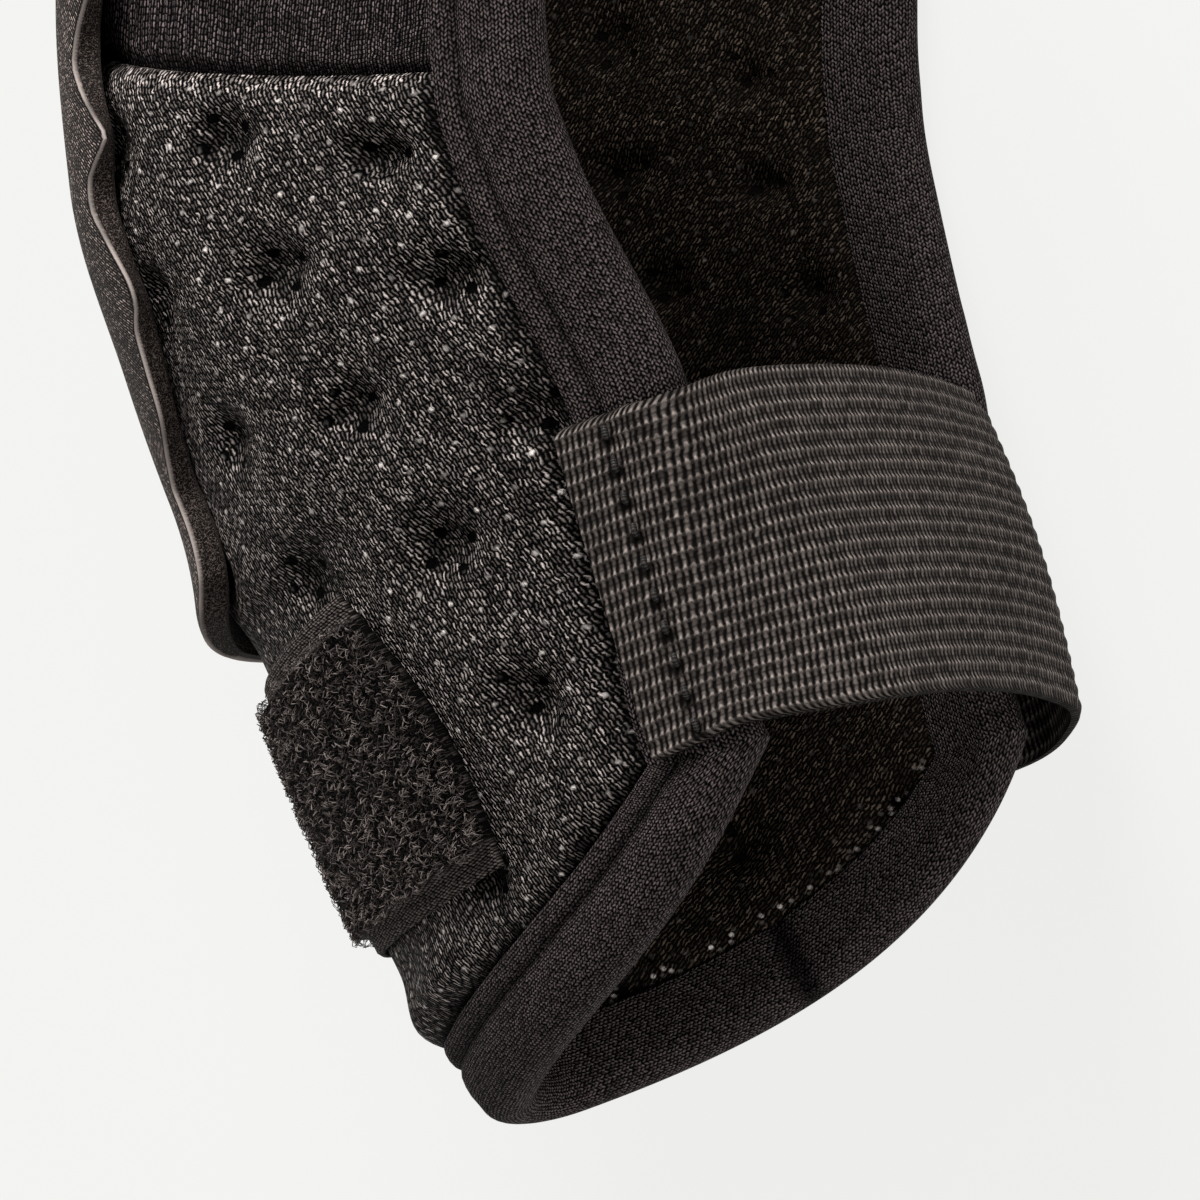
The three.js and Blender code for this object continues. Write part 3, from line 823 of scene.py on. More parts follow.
@dataclass(frozen=True)
class SpacerMeshFinish:
    """Black spacer mesh: slanted bright yarns, a lattice of glossy dots with painted glints, holes where it
    is pressed, and painted shade in dimples, creases and inside.
    """

    slot: str = "spacer_mesh"
    ground: Colour = (0.0004, 0.0003, 0.0003)
    yarn: Colour = (0.57, 0.494, 0.46)
    lining: Colour = (0.56, 0.42, 0.32)
    # Glint: colour of the painted highlights on the mesh's dots and along the hem.
    glint: Colour = (0.7, 0.64, 0.6)
    yarn_pitch: float = 0.52
    yarn_length: float = 1.25
    yarn_angle: float = 55.0
    lining_share: float = 0.24
    seam_pitch: float = 1.3
    dot_row: tuple[float, float] = (4.86, 0.91)
    dot_rise: tuple[float, float] = (1.57, -3.77)

    def material(self) -> bpy.types.Material:
        """Builds the material.

        Returns:
            The finished material.
        """
        s = ShaderSheet(self.slot)
        place = s.cloth()
        press, inner = s.mask("press"), s.mask("inner")
        loose = s.warped(s.warped(place, 2.4, 0.3), 0.7, 0.3)
        stroke, luck = s.dashes(loose, self.yarn_angle, self.yarn_length, self.yarn_pitch)
        # Crease mask: painted shade along the tape's outer edge and in the strap's groove, on the outer face
        # only.
        crease = s.mask("crease") * (1.0 - inner) * 0.85
        # Inner faces are drawn darker: painted shade of the guard's inside. The lining keeps its own warmer
        # tint.
        lining = 1.0 - inner * (1.0 - self.lining_share)
        # Random tone times a painted highlight on the pad's top lip (lip mask), painted shade on the inner
        # face and painted shade in creases.
        tone_and_painted_light = (s.noise(place, 6.0, 2) * 0.3 + s.mask("lip") * 0.6 + 0.97) * lining * (1.0 - crease)
        # Yarns are drawn darker in the pressed dimples: painted shade.
        bright = stroke * (luck * luck * 0.85 + 0.13) * tone_and_painted_light * (1.0 - press.rise(0.45, 1.0) * 0.5)
        # The dots' pale glint colour is a painted highlight. It is dimmed where pressed, and on the inner
        # face as painted shade.
        dot_reach, dot_luck = s.cells(s.lattice(loose, self.dot_row, self.dot_rise), 0.12)
        dot = dot_reach.fade(0.02, 0.11) * (dot_luck * dot_luck * 0.8 + 0.2)
        dot = dot * press.fade(0.3, 0.6) * (1.0 - inner * 0.9)
        hole = dot_reach.fade(0.15, 0.2) * press.rise(0.35, 0.55)
        lit = bright * (1.0 - hole)
        yarn = s.blend(inner, self.yarn, self.lining)
        colour = s.blend((lit + inner * 0.003).capped(), self.ground, yarn)
        # A broken row of painted glints on the lining beside the hem tape.
        bead, bead_luck = s.cells(s.turned(place, 0.0, self.seam_pitch, 1.0), 0.6)
        seam = bead.fade(0.14, 0.4) * bead_luck.rise(0.5, 1.0) * s.mask("seam") * inner
        colour = s.blend((dot + seam).capped(), colour, self.glint)
        height = stroke * 0.16 + dot * 0.12 - hole * 0.7
        return s.dress(colour, 0.66 - dot * 0.35 - lit * 0.15, height, specular=0.015)


@dataclass(frozen=True)
class JerseyFinish:
    """Fine jersey: columns of small V stitches along the cloth."""

    slot: str = "stretch_tape"
    ground: Colour = (0.0008, 0.0006, 0.0006)
    yarn: Colour = (0.128, 0.1, 0.1)
    wale: float = 1.0
    course: float = 0.62

    def material(self) -> bpy.types.Material:
        """Builds the material.

        Returns:
            The finished material.
        """
        s = ShaderSheet(self.slot)
        place = s.cloth()
        u, v = s.split(s.warped(place, 3.0, 0.25))
        across = v / self.wale
        lean = (across - across.floor() - 0.5).size()
        legs = s.join(u / self.course + lean * 1.5, across * 2.0)
        reach, luck = s.cells(legs, 0.3)
        stitch = reach.fade(0.14, 0.52)
        # Darker in the tape's fold groove and round its joint: painted shade.
        tone = (s.noise(place, 8.0, 2) * 0.2 + 1.0) * (1.0 - s.mask("crease") * 0.55)
        lit = stitch * (luck * 0.7 + 0.3) * tone
        colour = s.blend(lit.capped(), self.ground, self.yarn)
        return s.dress(colour, 0.72 - lit * 0.12, stitch * 0.12, specular=0.02)


@dataclass(frozen=True)
class RibKnitFinish:
    """Dark ribbed knit whose ribs run along the arm."""

    slot: str = "rib_knit"
    ground: Colour = (0.0008, 0.0006, 0.0006)
    yarn: Colour = (0.235, 0.186, 0.186)
    rib: float = 1.88
    stitch: float = 1.0

    def material(self) -> bpy.types.Material:
        """Builds the material.

        Returns:
            The finished material.
        """
        s = ShaderSheet(self.slot)
        place = s.cloth()
        loose = s.warped(s.warped(place, 3.0, 0.25), 0.9, 0.15)
        stitch, luck = s.dashes(loose, 97.0, self.stitch, self.rib / 4)
        # Darker where the band's edges sink under the pads: painted shade.
        tone = (s.noise(place, 5.0, 2) * 0.5 + 1.0) * (1.0 - s.mask("sunk") * 0.85)
        lit = stitch * (luck * luck * 0.85 + 0.2) * tone
        colour = s.blend(lit.capped(), self.ground, self.yarn)
        return s.dress(colour, 0.7 - lit * 0.15, stitch * 0.16, specular=0.02)


@dataclass(frozen=True)
class ElasticFinish:
    """Warm grey elastic: fine cords along the strap with rows of upright stitches between them."""

    slot: str = "elastic"
    ground: Colour = (0.0014, 0.0011, 0.001)
    yarn: Colour = (0.3, 0.253, 0.228)
    stitch: float = 0.9
    slant: float = 0.35
    rib: float = 2.07
    sewn_in: float = 6.8
    sewn_pitch: float = 4.3
    sewn_first: float = 3.3

    def material(self) -> bpy.types.Material:
        """Builds the material.

        Returns:
            The finished material.
        """
        s = ShaderSheet(self.slot)
        place = s.cloth()
        inner = s.mask("inner")
        u, v = s.split(place)
        shaken = s.noise(s.join(u, v * 2.0), 1.3) * 0.6
        run = u / self.stitch + v * self.slant + s.noise(place, 6.0) * 0.4 + shaken
        bar = (run - run.floor() - 0.5).size().fade(0.08, 0.4)
        luck = s.chance(run.floor(), (v * 2.0).floor())
        level = v - v.floor() - 0.5
        line = (level + bar * 0.16 - 0.08 + shaken * 0.14).size().fade(0.05, 0.19)
        # Dashes along the sewn line are drawn darker: painted shade in the stitches' dents.
        dash = (v * self.rib - self.sewn_first) / self.sewn_pitch + 0.5
        dash = (dash - dash.floor() - 0.5).size().fade(0.1, 0.34)
        sewn = (u - self.sewn_in).size().fade(0.5, 1.6) * dash * (s.noise(place, 3.0) + 1.05)
        tone = (s.noise(place, 30.0, 1) * 0.5 + 1.0) * (1.0 - sewn.capped() * 0.92)
        rows = level.size().fade(0.36, 0.5) * 0.6 + 0.4
        lit = line * (bar * 0.64 + 0.08) * (luck * 0.5 + 0.62)
        lit = lit + (1.0 - line) * (bar * rows * (luck * 0.3 + 0.1) + 0.006)
        lit = lit * tone * (s.noise(place, 0.5, 1) * 1.5 + 1.0) * (1.0 - inner * 0.6)
        colour = s.blend(lit.capped(), self.ground, self.yarn)
        return s.dress(colour, 0.68 - lit * 0.12, bar * 0.1 + line * 0.12, specular=0.02)


@dataclass(frozen=True)
class CapFinish:
    """Brown-grey fine twill over a stiff cap, with a pale skin line and painted highlight at its edge,
    painted shade in a groove inside it, and dark foam below it.
    """

    slot: str = "cap_shell"
    ground: Colour = (0.0016, 0.0011, 0.0009)
    yarn: Colour = (0.56, 0.437, 0.386)
    skin_line: Colour = (0.34, 0.29, 0.265)
    twill: float = 0.5

    def material(self) -> bpy.types.Material:
        """Builds the material.

        Returns:
            The finished material.
        """
        s = ShaderSheet(self.slot)
        place = s.cloth()
        inset, side = s.mask("inset"), s.mask("side")
        # Pale line along the edge: the skin's edge, with a painted highlight.
        lip = (inset - 0.08).size().fade(0.03, 0.13) * (1.0 - side)
        # Dark line just inside it: painted shade in a shallow groove, with a small bump.
        groove = (inset - 0.62).size().fade(0.08, 0.3)
        loose = s.warped(s.warped(place, 4.0, 0.3), 0.9, 0.12)
        weave, luck = s.dashes(loose, 45.0, self.twill * 2.0, self.twill)
        weave = weave * (1.0 - side) * (1.0 - lip) * (1.0 - groove)
        tone = s.noise(place, 14.0, 2) * 0.9 + 0.9
        lit = weave * (luck * luck * 0.9 + 0.15) * tone
        fuzz = s.noise(s.warped(place, 0.4, 0.2), 0.4, 1).size().fade(0.01, 0.06)
        colour = s.blend((lit + side * (fuzz * 0.2 + 0.012)).capped(), self.ground, self.yarn)
        # Noise breaks the painted highlight on the edge line into patches.
        highlight_patches = s.noise(place, 12.0, 2).rise(-0.22, 0.12) * 0.7 + 0.3
        colour = s.blend(lip * highlight_patches, colour, self.skin_line)
        height = weave * 0.12 + fuzz * side * 0.12 - groove * 0.15
        return s.dress(colour, 0.68 - lit * 0.12, height, specular=0.03, sheen=0.015)


@dataclass(frozen=True)
class PileFinish:
    """Black-brown strands of curly loop pile, each with its own shade."""

    slot: str = "loop_pile"
    ground: Colour = (0.0009, 0.0007, 0.0006)
    strand: Colour = (0.28, 0.232, 0.214)
    selvage_pitch: float = 0.75

    def strands(self) -> bpy.types.Material:
        """Builds the loose loops' material.

        Returns:
            The finished material.
        """
        s = ShaderSheet("loop_strands")
        place = s.cloth()
        shade = s.mask("shade")
        tone = shade * 0.9 + 0.05 + s.noise(place, 0.8) * 0.3
        colour = s.blend(tone.capped(), self.ground, self.strand)
        return s.dress(colour, 0.62 - shade * 0.12, s.noise(place, 0.4) * 0.02, specular=0.03)

    def backing(self) -> bpy.types.Material:
        """Builds the material of the woven tape under the loops.

        Returns:
            The finished material.
        """
        s = ShaderSheet(self.slot)
        place = s.cloth()
        pile, side = s.mask("pile"), s.mask("side")
        reach, luck = s.cells(s.lattice(place, (self.selvage_pitch, 0.0), (self.selvage_pitch / 2, 0.4)), 0.3)
        bar = reach.fade(0.15, 0.55)
        curl = s.noise(s.warped(place, 0.8, 0.4), 0.7, 1).size().fade(0.01, 0.05)
        lit = bar * (luck * 0.4 + 0.2) * (1.0 - pile) + curl * pile * (s.noise(place, 2.0) + 0.5) * 0.2
        # Side faces are drawn nearly black: painted shade at the tape's ends and edges.
        colour = s.blend((lit * (1.0 - side * 0.95)).capped(), self.ground, self.strand)
        return s.dress(colour, 0.75 - lit * 0.1, bar * 0.12 + curl * pile * 0.3, specular=0.03)


@dataclass(frozen=True)
class ThreadFinish:
    """Dark sewing thread with a twist."""

    slot: str = "elastic"
    ground: Colour = (0.004, 0.0035, 0.003)
    ply: Colour = (0.03, 0.026, 0.024)

    def material(self) -> bpy.types.Material:
        """Builds the material.

        Returns:
            The finished material.
        """
        s = ShaderSheet("sewing_thread")
        u, v = s.split(s.cloth())
        twist = (u * 2.0 + v * 0.7).wave() * 0.5 + 0.5
        colour = s.blend(twist, self.ground, self.ply)
        return s.dress(colour, 0.55 - twist * 0.1, twist * 0.05, specular=0.2)


@dataclass(frozen=True)
class DimpleColumn:
    """One column of pressed dimples: its place round the wrap, its first dimple and their pitch along."""

    around: float
    first: float
    pitch: float


DIMPLE_COLUMNS = (
    DimpleColumn(around=0.0, first=44.0, pitch=23.0),
    DimpleColumn(around=22.0, first=32.5, pitch=23.0),
    DimpleColumn(around=43.5, first=44.0, pitch=22.8),
    DimpleColumn(around=66.5, first=26.0, pitch=23.6),
    DimpleColumn(around=88.0, first=36.0, pitch=25.8),
)


@dataclass
class PaddedPanel:
    """A padded mesh panel between the flex band and a hem, dimpled on both faces."""

    node: str
    hem: Hem
    rows: int
    columns: int
    finish: SpacerMeshFinish
    lining_rows: int = 0
    dimple_depth: float = 2.3
    dimple_radius: float = 3.9
    dimple_power: float = 2.2
    dimple_share: float = 0.75
    dimple_spread: tuple[float, float] = (0.85, 1.15)
    dimple_sway: float = 1.1
    sway_pitch: float = 5.0
    press_radius: float = 6.0
    press_power: float = 2.3
    lip_length: float = 6.2
    lip_start: float = 0.1
    border_length: float = 5.5
    hem_border: float = 5.5
    grain_origin: float = 75.0
    grain_turn: float = 0.4
    back_round: float = 8.0
    band_gap: float = 0.1
    strap_groove: float = 2.2
    groove_width: float = 1.7
    lump_height: float = 0.35
    lump_pitch: float = 13.0
    fine_height: float = 0.12
    fine_pitch: float = 3.4
    tip_swell: float = 2.0
    tip_along: float = 80.0
    tip_width: float = 7.0
    hem_swell: float = 1.8
    hem_swell_along: float = 140.5
    hem_swell_width: float = 4.0
    # Spreads of the painted crease shade, the painted glint row and the painted lip highlight.
    crease_at: tuple[float, float] = (0.3, 1.3)
    seam_at: tuple[float, float] = (1.6, 0.6)
    glow_at: tuple[float, float] = (2.0, 2.4)
    puff_height: float = 1.3
    puff_step: int = 2
    puff_scale: float = 10.0
    puff_pressure: float = 4.0
    seed: int = 11

    def edges(self) -> tuple[EdgeLine, EdgeLine, float]:
        """Lines between which the panel lies.

        Returns:
            Its edge at the flex band, its hem and the way from one to the other.
        """
        if self.hem is Hem.FOREARM:
            return band_lower_edge, forearm_hem, 1.0
        return band_upper_edge, upper_hem, -1.0

    def places(self, form: WrapForm) -> dict[str, Array]:
        """Cloth places of the grid, with the distances from the panel's edges.

        Args:
            form: The wrap's wall.

        Returns:
            Arrays around, along, slit, hem, strip and lining, rows by columns.
        """
        strip_edge, hem_edge, way = self.edges()
        shares = np.linspace(-1, -0.001, self.lining_rows), np.linspace(0, 1, self.rows)
        level = np.concatenate(shares)[:, None]

        def line(share: Array) -> Array:
            """Distances along of the lining's rows and the panel's rows."""
            start, end = strip_edge(share) + way * self.band_gap, hem_edge(share) - way * PAD_EDGE
            return np.where(level < 0, lerp(start, BAND_ABOVE + SEAM_GAP, -level), lerp(start, end, level))

        around, share, along = row_places(form, np.linspace(-1, 1, self.columns)[None, :], line, len(level))
        start = strip_edge(share) + way * self.band_gap
        slit = form.half_length(along) - np.abs(around)
        return dict(around=around, along=along, slit=slit, hem=np.abs(hem_edge(share) - along),
                    strip=way * (along - start), lining=np.broadcast_to(level < 0, along.shape))

    @staticmethod
    def under_cap(around: Array) -> Array:
        """1 behind the cap's tip, fading to 0 at the sides."""
        return 1 - smooth_step(20, 38, np.abs(around))

    def grain(self, form: WrapForm, around: Array, along: Array) -> Array:
        """Cloth places on the flat cut, where the yarns keep one direction over a whole wing.

        Args:
            form: The wrap's wall.
            around: Distances round from the back.
            along: Distances along the arm.

        Returns:
            Cloth coordinates in millimetres, as vectors.
        """
        tilt = np.radians(form.read("tilt", along))
        side = lerp(-1, 1, smooth_step(-self.grain_turn, self.grain_turn, around))
        bow = form.half_length(along) - form.read("reach", along)
        across = (around - side * bow) * np.cos(tilt) + side * (form.read("x", along) - self.grain_origin)
        way = np.hypot(around, self.back_round) - self.back_round
        down = -form.read("y", along) - (way - bow) * np.sin(tilt)
        return cloth_places(across, down)

    def groove(self, around: Array, along: Array) -> Array:
        """Groove that the strap's sewn end presses into the upper wing.

        Args:
            around: Distances round from the back.
            along: Distances along the arm.

        Returns:
            Depth of the groove.
        """
        strap = ForearmStrap
        share = (along - strap.top_along) / (strap.hem_along - strap.top_along)
        away = around - lerp(strap.top_around, strap.hem_around, share) + 0.7
        ends = smooth_step(-0.06, 0.0, share) * (1 - smooth_step(1.0, 1.06, share))
        return self.strap_groove * bell(away, 0, self.groove_width) * ends

    def dimples(self, around: Array, along: Array) -> tuple[Array, Array]:
        """Pressed dimples of the face.

        Args:
            around: Distances round from the back.
            along: Distances along the arm.

        Returns:
            Shares of the full dimple depth, and of the pressed, holed part round each dimple.
        """
        depth, press = np.zeros_like(around), np.zeros_like(around)
        rng = np.random.default_rng(self.seed)
        sway = soft_noise(around, along, self.sway_pitch, self.seed) * self.dimple_sway
        for column in DIMPLE_COLUMNS:
            for side in (-1, 1) if column.around else (1,):
                for step in range(-5, 6):
                    centre = column.first + step * column.pitch
                    wide, tall = rng.uniform(*self.dimple_spread, 2)
                    du = (around - side * column.around + sway) / wide
                    dv = (along - centre + sway * 0.6) / tall
                    away = np.hypot(du, dv)
                    outer = np.exp(-((away / self.press_radius) ** self.press_power))
                    press = np.maximum(press, outer)
                    core = np.exp(-((away / self.dimple_radius) ** self.dimple_power))
                    depth = np.maximum(depth, self.dimple_share * core + (1 - self.dimple_share) * outer)
        return depth, press

    @staticmethod
    def covered(around: Array, along: Array) -> Array:
        """Where something lies against the face.

        Args:
            around: Distances round from the back.
            along: Distances along the arm.

        Returns:
            True on the resting lower wing and under the cap and the loop tape.
        """
        below = np.abs(along - ElbowCap.middle)
        knots, halves = (np.array([getattr(r, key) for r in CAP_OUTLINE], float) for key in ("below", "foot"))
        cap = (below < knots[-1] + 2) & (around < np.interp(below, knots, halves) + 1)
        patch = (along > LoopPatch.top - 8) & (around < LoopPatch.near_end + LoopPatch.end_bow + 1)
        return cap | patch | (around < 0)

    def puffs(self, form: WrapForm, around: Array, along: Array, held: Array) -> Array:
        """Swell of the face where its filling pushes it out, from a cloth simulation.

        Args:
            form: The wrap's wall.
            around: Distances round from the back.
            along: Distances along the arm.
            held: True where seams and dimples hold the face down.

        Returns: The swell at each place, in millimetres.
        """
        rows, columns = (np.unique(np.append(np.arange(0, n, self.puff_step), n - 1)) for n in around.shape)
        pick = np.ix_(rows, columns)
        start = form.place(around[pick], along[pick], PAD_OUTER) * self.puff_scale
        outward = form.outward(around[pick], along[pick])
        moved = inflated(start, outward, held[pick], self.puff_pressure)
        rise = np.einsum("ijk,ijk->ij", moved - start, outward)
        rise = np.clip(rise / max(float(np.percentile(rise, 97)), 1e-9), 0, 1) * self.puff_height
        LOG.info("%s: cloth swells %d of %d points", self.node, int((rise > 0.2).sum()), rise.size)
        tall = np.stack([np.interp(np.arange(around.shape[0]), rows, line) for line in rise.T], 1)
        return np.stack([np.interp(np.arange(around.shape[1]), columns, line) for line in tall], 0)

    def build(self, form: WrapForm) -> bpy.types.Object:
        """Builds the panel.

        Args:
            form: The wrap's wall.

        Returns:
            The new piece.
        """
        p = self.places(form)
        around, along = p["around"], p["along"]
        start = TAPE_OUTER_LEG - TAPE_COVER
        border = np.minimum(round_rise(p["slit"], start, self.border_length),
                            round_rise(p["hem"], start, self.hem_border))
        lip = round_rise(p["strip"], -0.2, self.lip_length)
        full = border * lip
        dent, press = self.dimples(around, along)
        dent = dent * self.dimple_depth
        swell = self.lump_height * soft_noise(around, along, self.lump_pitch, self.seed + 1)
        swell = swell + self.fine_height * soft_noise(around, along, self.fine_pitch, self.seed + 2)
        back = self.under_cap(around)
        swell = swell + self.tip_swell * bell(along, self.tip_along, self.tip_width) * back
        swell = swell + self.hem_swell * bell(along, self.hem_swell_along, self.hem_swell_width) * back
        held = (dent > 0.5 * self.dimple_depth) | (full < 0.5) | self.covered(around, along)
        swell = swell + self.puffs(form, around, along, held)
        groove = self.groove(around, along)
        outer = lerp(PRESSED_HALF, PAD_OUTER, border) * lerp(self.lip_start, 1, lip) + (swell - dent) * full
        outer = np.where(p["lining"], -LINING_TOP, outer - groove * full)
        inside = round_rise(np.minimum(p["slit"], p["hem"]), TAPE_INNER_LEG - TAPE_COVER, self.border_length)
        inner = -lerp(PRESSED_HALF, PAD_INNER, inside) + (dent - swell) * inside
        # Crease mask for painted shade in the strap's groove and along the tape's outer edge.
        crease = groove / self.strap_groove
        for edge in (p["slit"], p["hem"]):
            crease = np.maximum(crease, bell(edge - TAPE_OUTER_LEG, *self.crease_at))
        # Mask for a row of painted glints on the lining beside the hem tape.
        seam = bell(p["hem"] - TAPE_INNER_LEG, *self.seam_at) * (p["slit"] > TAPE_INNER_LEG)
        # Lip mask: where a painted highlight lies along the pad's top lip.
        masks = {"press": press * np.maximum(full, inside), "seam": seam, "crease": crease,
                 "lip": bell(p["strip"], *self.glow_at)}
        draft = slab(form.place(around, along, outer), form.place(around, along, inner),
                     self.grain(form, around, along), masks)
        piece = settle(draft.object(self.node + "_mesh"), self.finish.material(), self.node)
        return piece


@dataclass
class FlexBand:
    """The thin ribbed strip across the bend of the elbow."""

    finish: RibKnitFinish
    node: str = "elbow_flex_band"
    columns: int = 620
    rows: int = 30
    rib_height: float = 0.35
    rib_sway: float = 0.35
    sway_pitch: float = 3.0
    lump_height: float = 0.15
    lump_pitch: float = 8.0
    edge_sink: float = 0.95
    sink_length: float = 3.2
    seed: int = 31

    def build(self, form: WrapForm) -> bpy.types.Object:
        """Builds the strip.

        Args:
            form: The wrap's wall.

        Returns:
            The new piece.
        """
        level = np.linspace(0, 1, self.rows)[:, None]
        around, share, along = row_places(form, np.linspace(-1, 1, self.columns)[None, :],
                                       lambda s: lerp(BAND_ABOVE, band_lower_edge(s), level), self.rows)
        sway = soft_noise(around, along, self.sway_pitch, self.seed) * self.rib_sway
        rib = np.abs(np.cos(np.pi * (around + sway) / self.finish.rib)) * self.rib_height
        to_edge = np.minimum(along - BAND_ABOVE, band_lower_edge(share) - along)
        sink = self.edge_sink * (1 - smooth_step(0, self.sink_length, to_edge))
        lumps = self.lump_height * soft_noise(around, along, self.lump_pitch, self.seed + 1)
        outer = BAND_OUTER - self.rib_height + rib - sink + lumps
        inner = np.full_like(outer, -BAND_INNER)
        # The band's sunken edges carry a mask for painted shade.
        draft = slab(form.place(around, along, outer), form.place(around, along, inner),
                     cloth_places(around, along), {"sunk": np.clip(sink / self.edge_sink, 0, 1)})
        piece = settle(draft.object("flex_band_knit"), self.finish.material(), self.node)
        wide, tall = np.ptp(around[0]), along[-1] - along[0]
        wide * MM
        tall.max() * MM
        wide * tall.mean() * MM**2
        return piece


@dataclass(frozen=True)
class EdgeStop:
    """A stop on the wrap's outline: on a hem, in its corner, or up a slit edge."""

    hem: Hem | None
    share: float
    corner: float = 0.0
    up: float = 0.0


@dataclass
class EdgeBinding:
    """The folded stretch tape round every open edge, with its joint on the lower wing's hem."""

    finish: JerseyFinish
    node: str = "edge_binding"
    joint: float = -2 / 3
    joint_gap: float = 0.0004
    joint_dip: float = 0.9
    joint_length: float = 3.2
    joint_dark: tuple[float, float] = (0.4, 2.8)
    joint_shade: float = 1.4
    skin: float = TAPE_BED + 0.05
    run_inset: float = 6.0
    gather_height: float = 0.1
    gather_pitch: float = 4.5
    groove_width: float = 0.7
    seed: int = 51
    hem_steps: int = 190
    slit_steps: int = 190
    corner_steps: int = 16

    def profile(self) -> Array:
        """Closed section of the tape.

        Returns:
            Distances in from the edge and heights off the wall's middle.
        """
        turn = np.radians(np.linspace(80, -80, 15))
        radius = TAPE_FACE + 0.15
        fold = np.stack([radius - radius * np.cos(turn), radius * np.sin(turn)], -1)
        outer = np.array([
            [TAPE_OUTER_LEG, TAPE_BED], [TAPE_OUTER_LEG + 0.1, TAPE_BED + 0.6],
            [TAPE_OUTER_LEG - 0.2, TAPE_FACE],
            [TAPE_OUTER_LEG - 0.9, TAPE_FACE + 0.2], [TAPE_OUTER_LEG - 1.9, TAPE_FACE + 0.25],
            [TAPE_GROOVE_IN + 1.1, TAPE_FACE + 0.1], [TAPE_GROOVE_IN + 0.5, TAPE_FACE - 0.25],
            [TAPE_GROOVE_IN, TAPE_FACE - 0.5], [TAPE_GROOVE_IN - 0.5, TAPE_FACE - 0.25],
            [TAPE_GROOVE_IN - 1.3, TAPE_FACE + 0.15], [TAPE_GROOVE_IN - 2.6, TAPE_FACE + 0.35],
            [TAPE_GROOVE_IN - 4.2, TAPE_FACE + 0.38], [TAPE_GROOVE_IN - 5.6, TAPE_FACE + 0.25],
        ])
        inner = np.array([
            [5.2, -TAPE_FACE - 0.08], [7.4, -TAPE_FACE - 0.1], [9.6, -TAPE_FACE], [11.4, -TAPE_FACE + 0.05],
            [TAPE_INNER_LEG - 0.2, -TAPE_FACE + 0.2], [TAPE_INNER_LEG, -TAPE_BED],
            [8.0, -TAPE_BED], [TAPE_FACE, -TAPE_BED], [TAPE_THICKNESS + 0.6, -1.5], [TAPE_THICKNESS, 0],
            [TAPE_THICKNESS + 0.6, 1.5], [TAPE_FACE, TAPE_BED], [9.0, TAPE_BED],
        ])
        return np.concatenate([outer, fold, inner])

    def stops(self) -> list[EdgeStop]:
        """Stops round the whole outline.

        Returns:
            The stops in order, from the joint back to the joint.
        """
        fine = np.linspace(0, 1, self.slit_steps)
        corner = np.linspace(0, 1, self.corner_steps)[1:-1]
        half_hem = self.hem_steps // 2
        first = np.linspace(self.joint + self.joint_gap, 1, int(half_hem * (1 - self.joint)))
        last = np.linspace(-1, self.joint - self.joint_gap, int(half_hem * (1 + self.joint)))
        made = [EdgeStop(Hem.FOREARM, s) for s in first]
        made += [EdgeStop(Hem.FOREARM, 1, c) for c in corner]
        made += [EdgeStop(None, 1, up=f) for f in fine]
        made += [EdgeStop(Hem.UPPER, 1, c) for c in corner[::-1]]
        made += [EdgeStop(Hem.UPPER, s) for s in np.linspace(1, -1, self.hem_steps)]
        made += [EdgeStop(Hem.UPPER, -1, c) for c in corner]
        made += [EdgeStop(None, -1, up=f) for f in fine[::-1]]
        made += [EdgeStop(Hem.FOREARM, -1, c) for c in corner[::-1]]
        return made + [EdgeStop(Hem.FOREARM, s) for s in last]

    @staticmethod
    def hem_places(form: WrapForm, hem: Hem, share: Array, corner: Array,
                   inset: Array) -> tuple[Array, Array]:
        """Cloth places at a distance in from a hem.

        Args:
            form: The wrap's wall.
            hem: Which hem.
            share: Share of the way round to the corner, from -1 to 1.
            corner: Share of the way through the corner.
            inset: Distance in from the edge.

        Returns:
            The distances round and along.
        """
        along = np.full(np.broadcast(share, inset).shape, UPPER_HEM if hem is Hem.UPPER else FOREARM_HEM)
        around = np.zeros_like(along)
        edge, way = (upper_hem, 1) if hem is Hem.UPPER else (forearm_hem, -1)
        for _ in range(HEM_ROUNDS):
            half = form.half_length(along)
            around = share * (half - PAD_BORDER) + np.sign(share) * corner * (PAD_BORDER - inset)
            along = edge(around / half) + way * inset
        return around, along

    def places(self, form: WrapForm, stops: list[EdgeStop], inset: Array) -> tuple[Array, Array]:
        """Cloth places of every stop at every inset.

        Args:
            form: The wrap's wall.
            stops: Stops on the outline.
            inset: Distances in from the edge.

        Returns:
            The distances round and along, stops by insets.
        """
        around = np.zeros((len(stops), len(inset)))
        along = np.zeros_like(around)
        share, corner, up = (np.array([getattr(s, key) for s in stops])[:, None]
                             for key in ("share", "corner", "up"))
        inset = inset[None, :]
        for hem in Hem:
            here = np.array([s.hem is hem for s in stops])
            around[here], along[here] = self.hem_places(form, hem, share[here], corner[here], inset)
        here = np.array([s.hem is None for s in stops])
        low, high = (self.hem_places(form, hem, share[here], np.ones_like(up[here]), inset)[1]
                     for hem in (Hem.FOREARM, Hem.UPPER))
        along[here] = lerp(low, high, up[here])
        around[here] = share[here] * (form.half_length(along[here]) - inset)
        return around, along

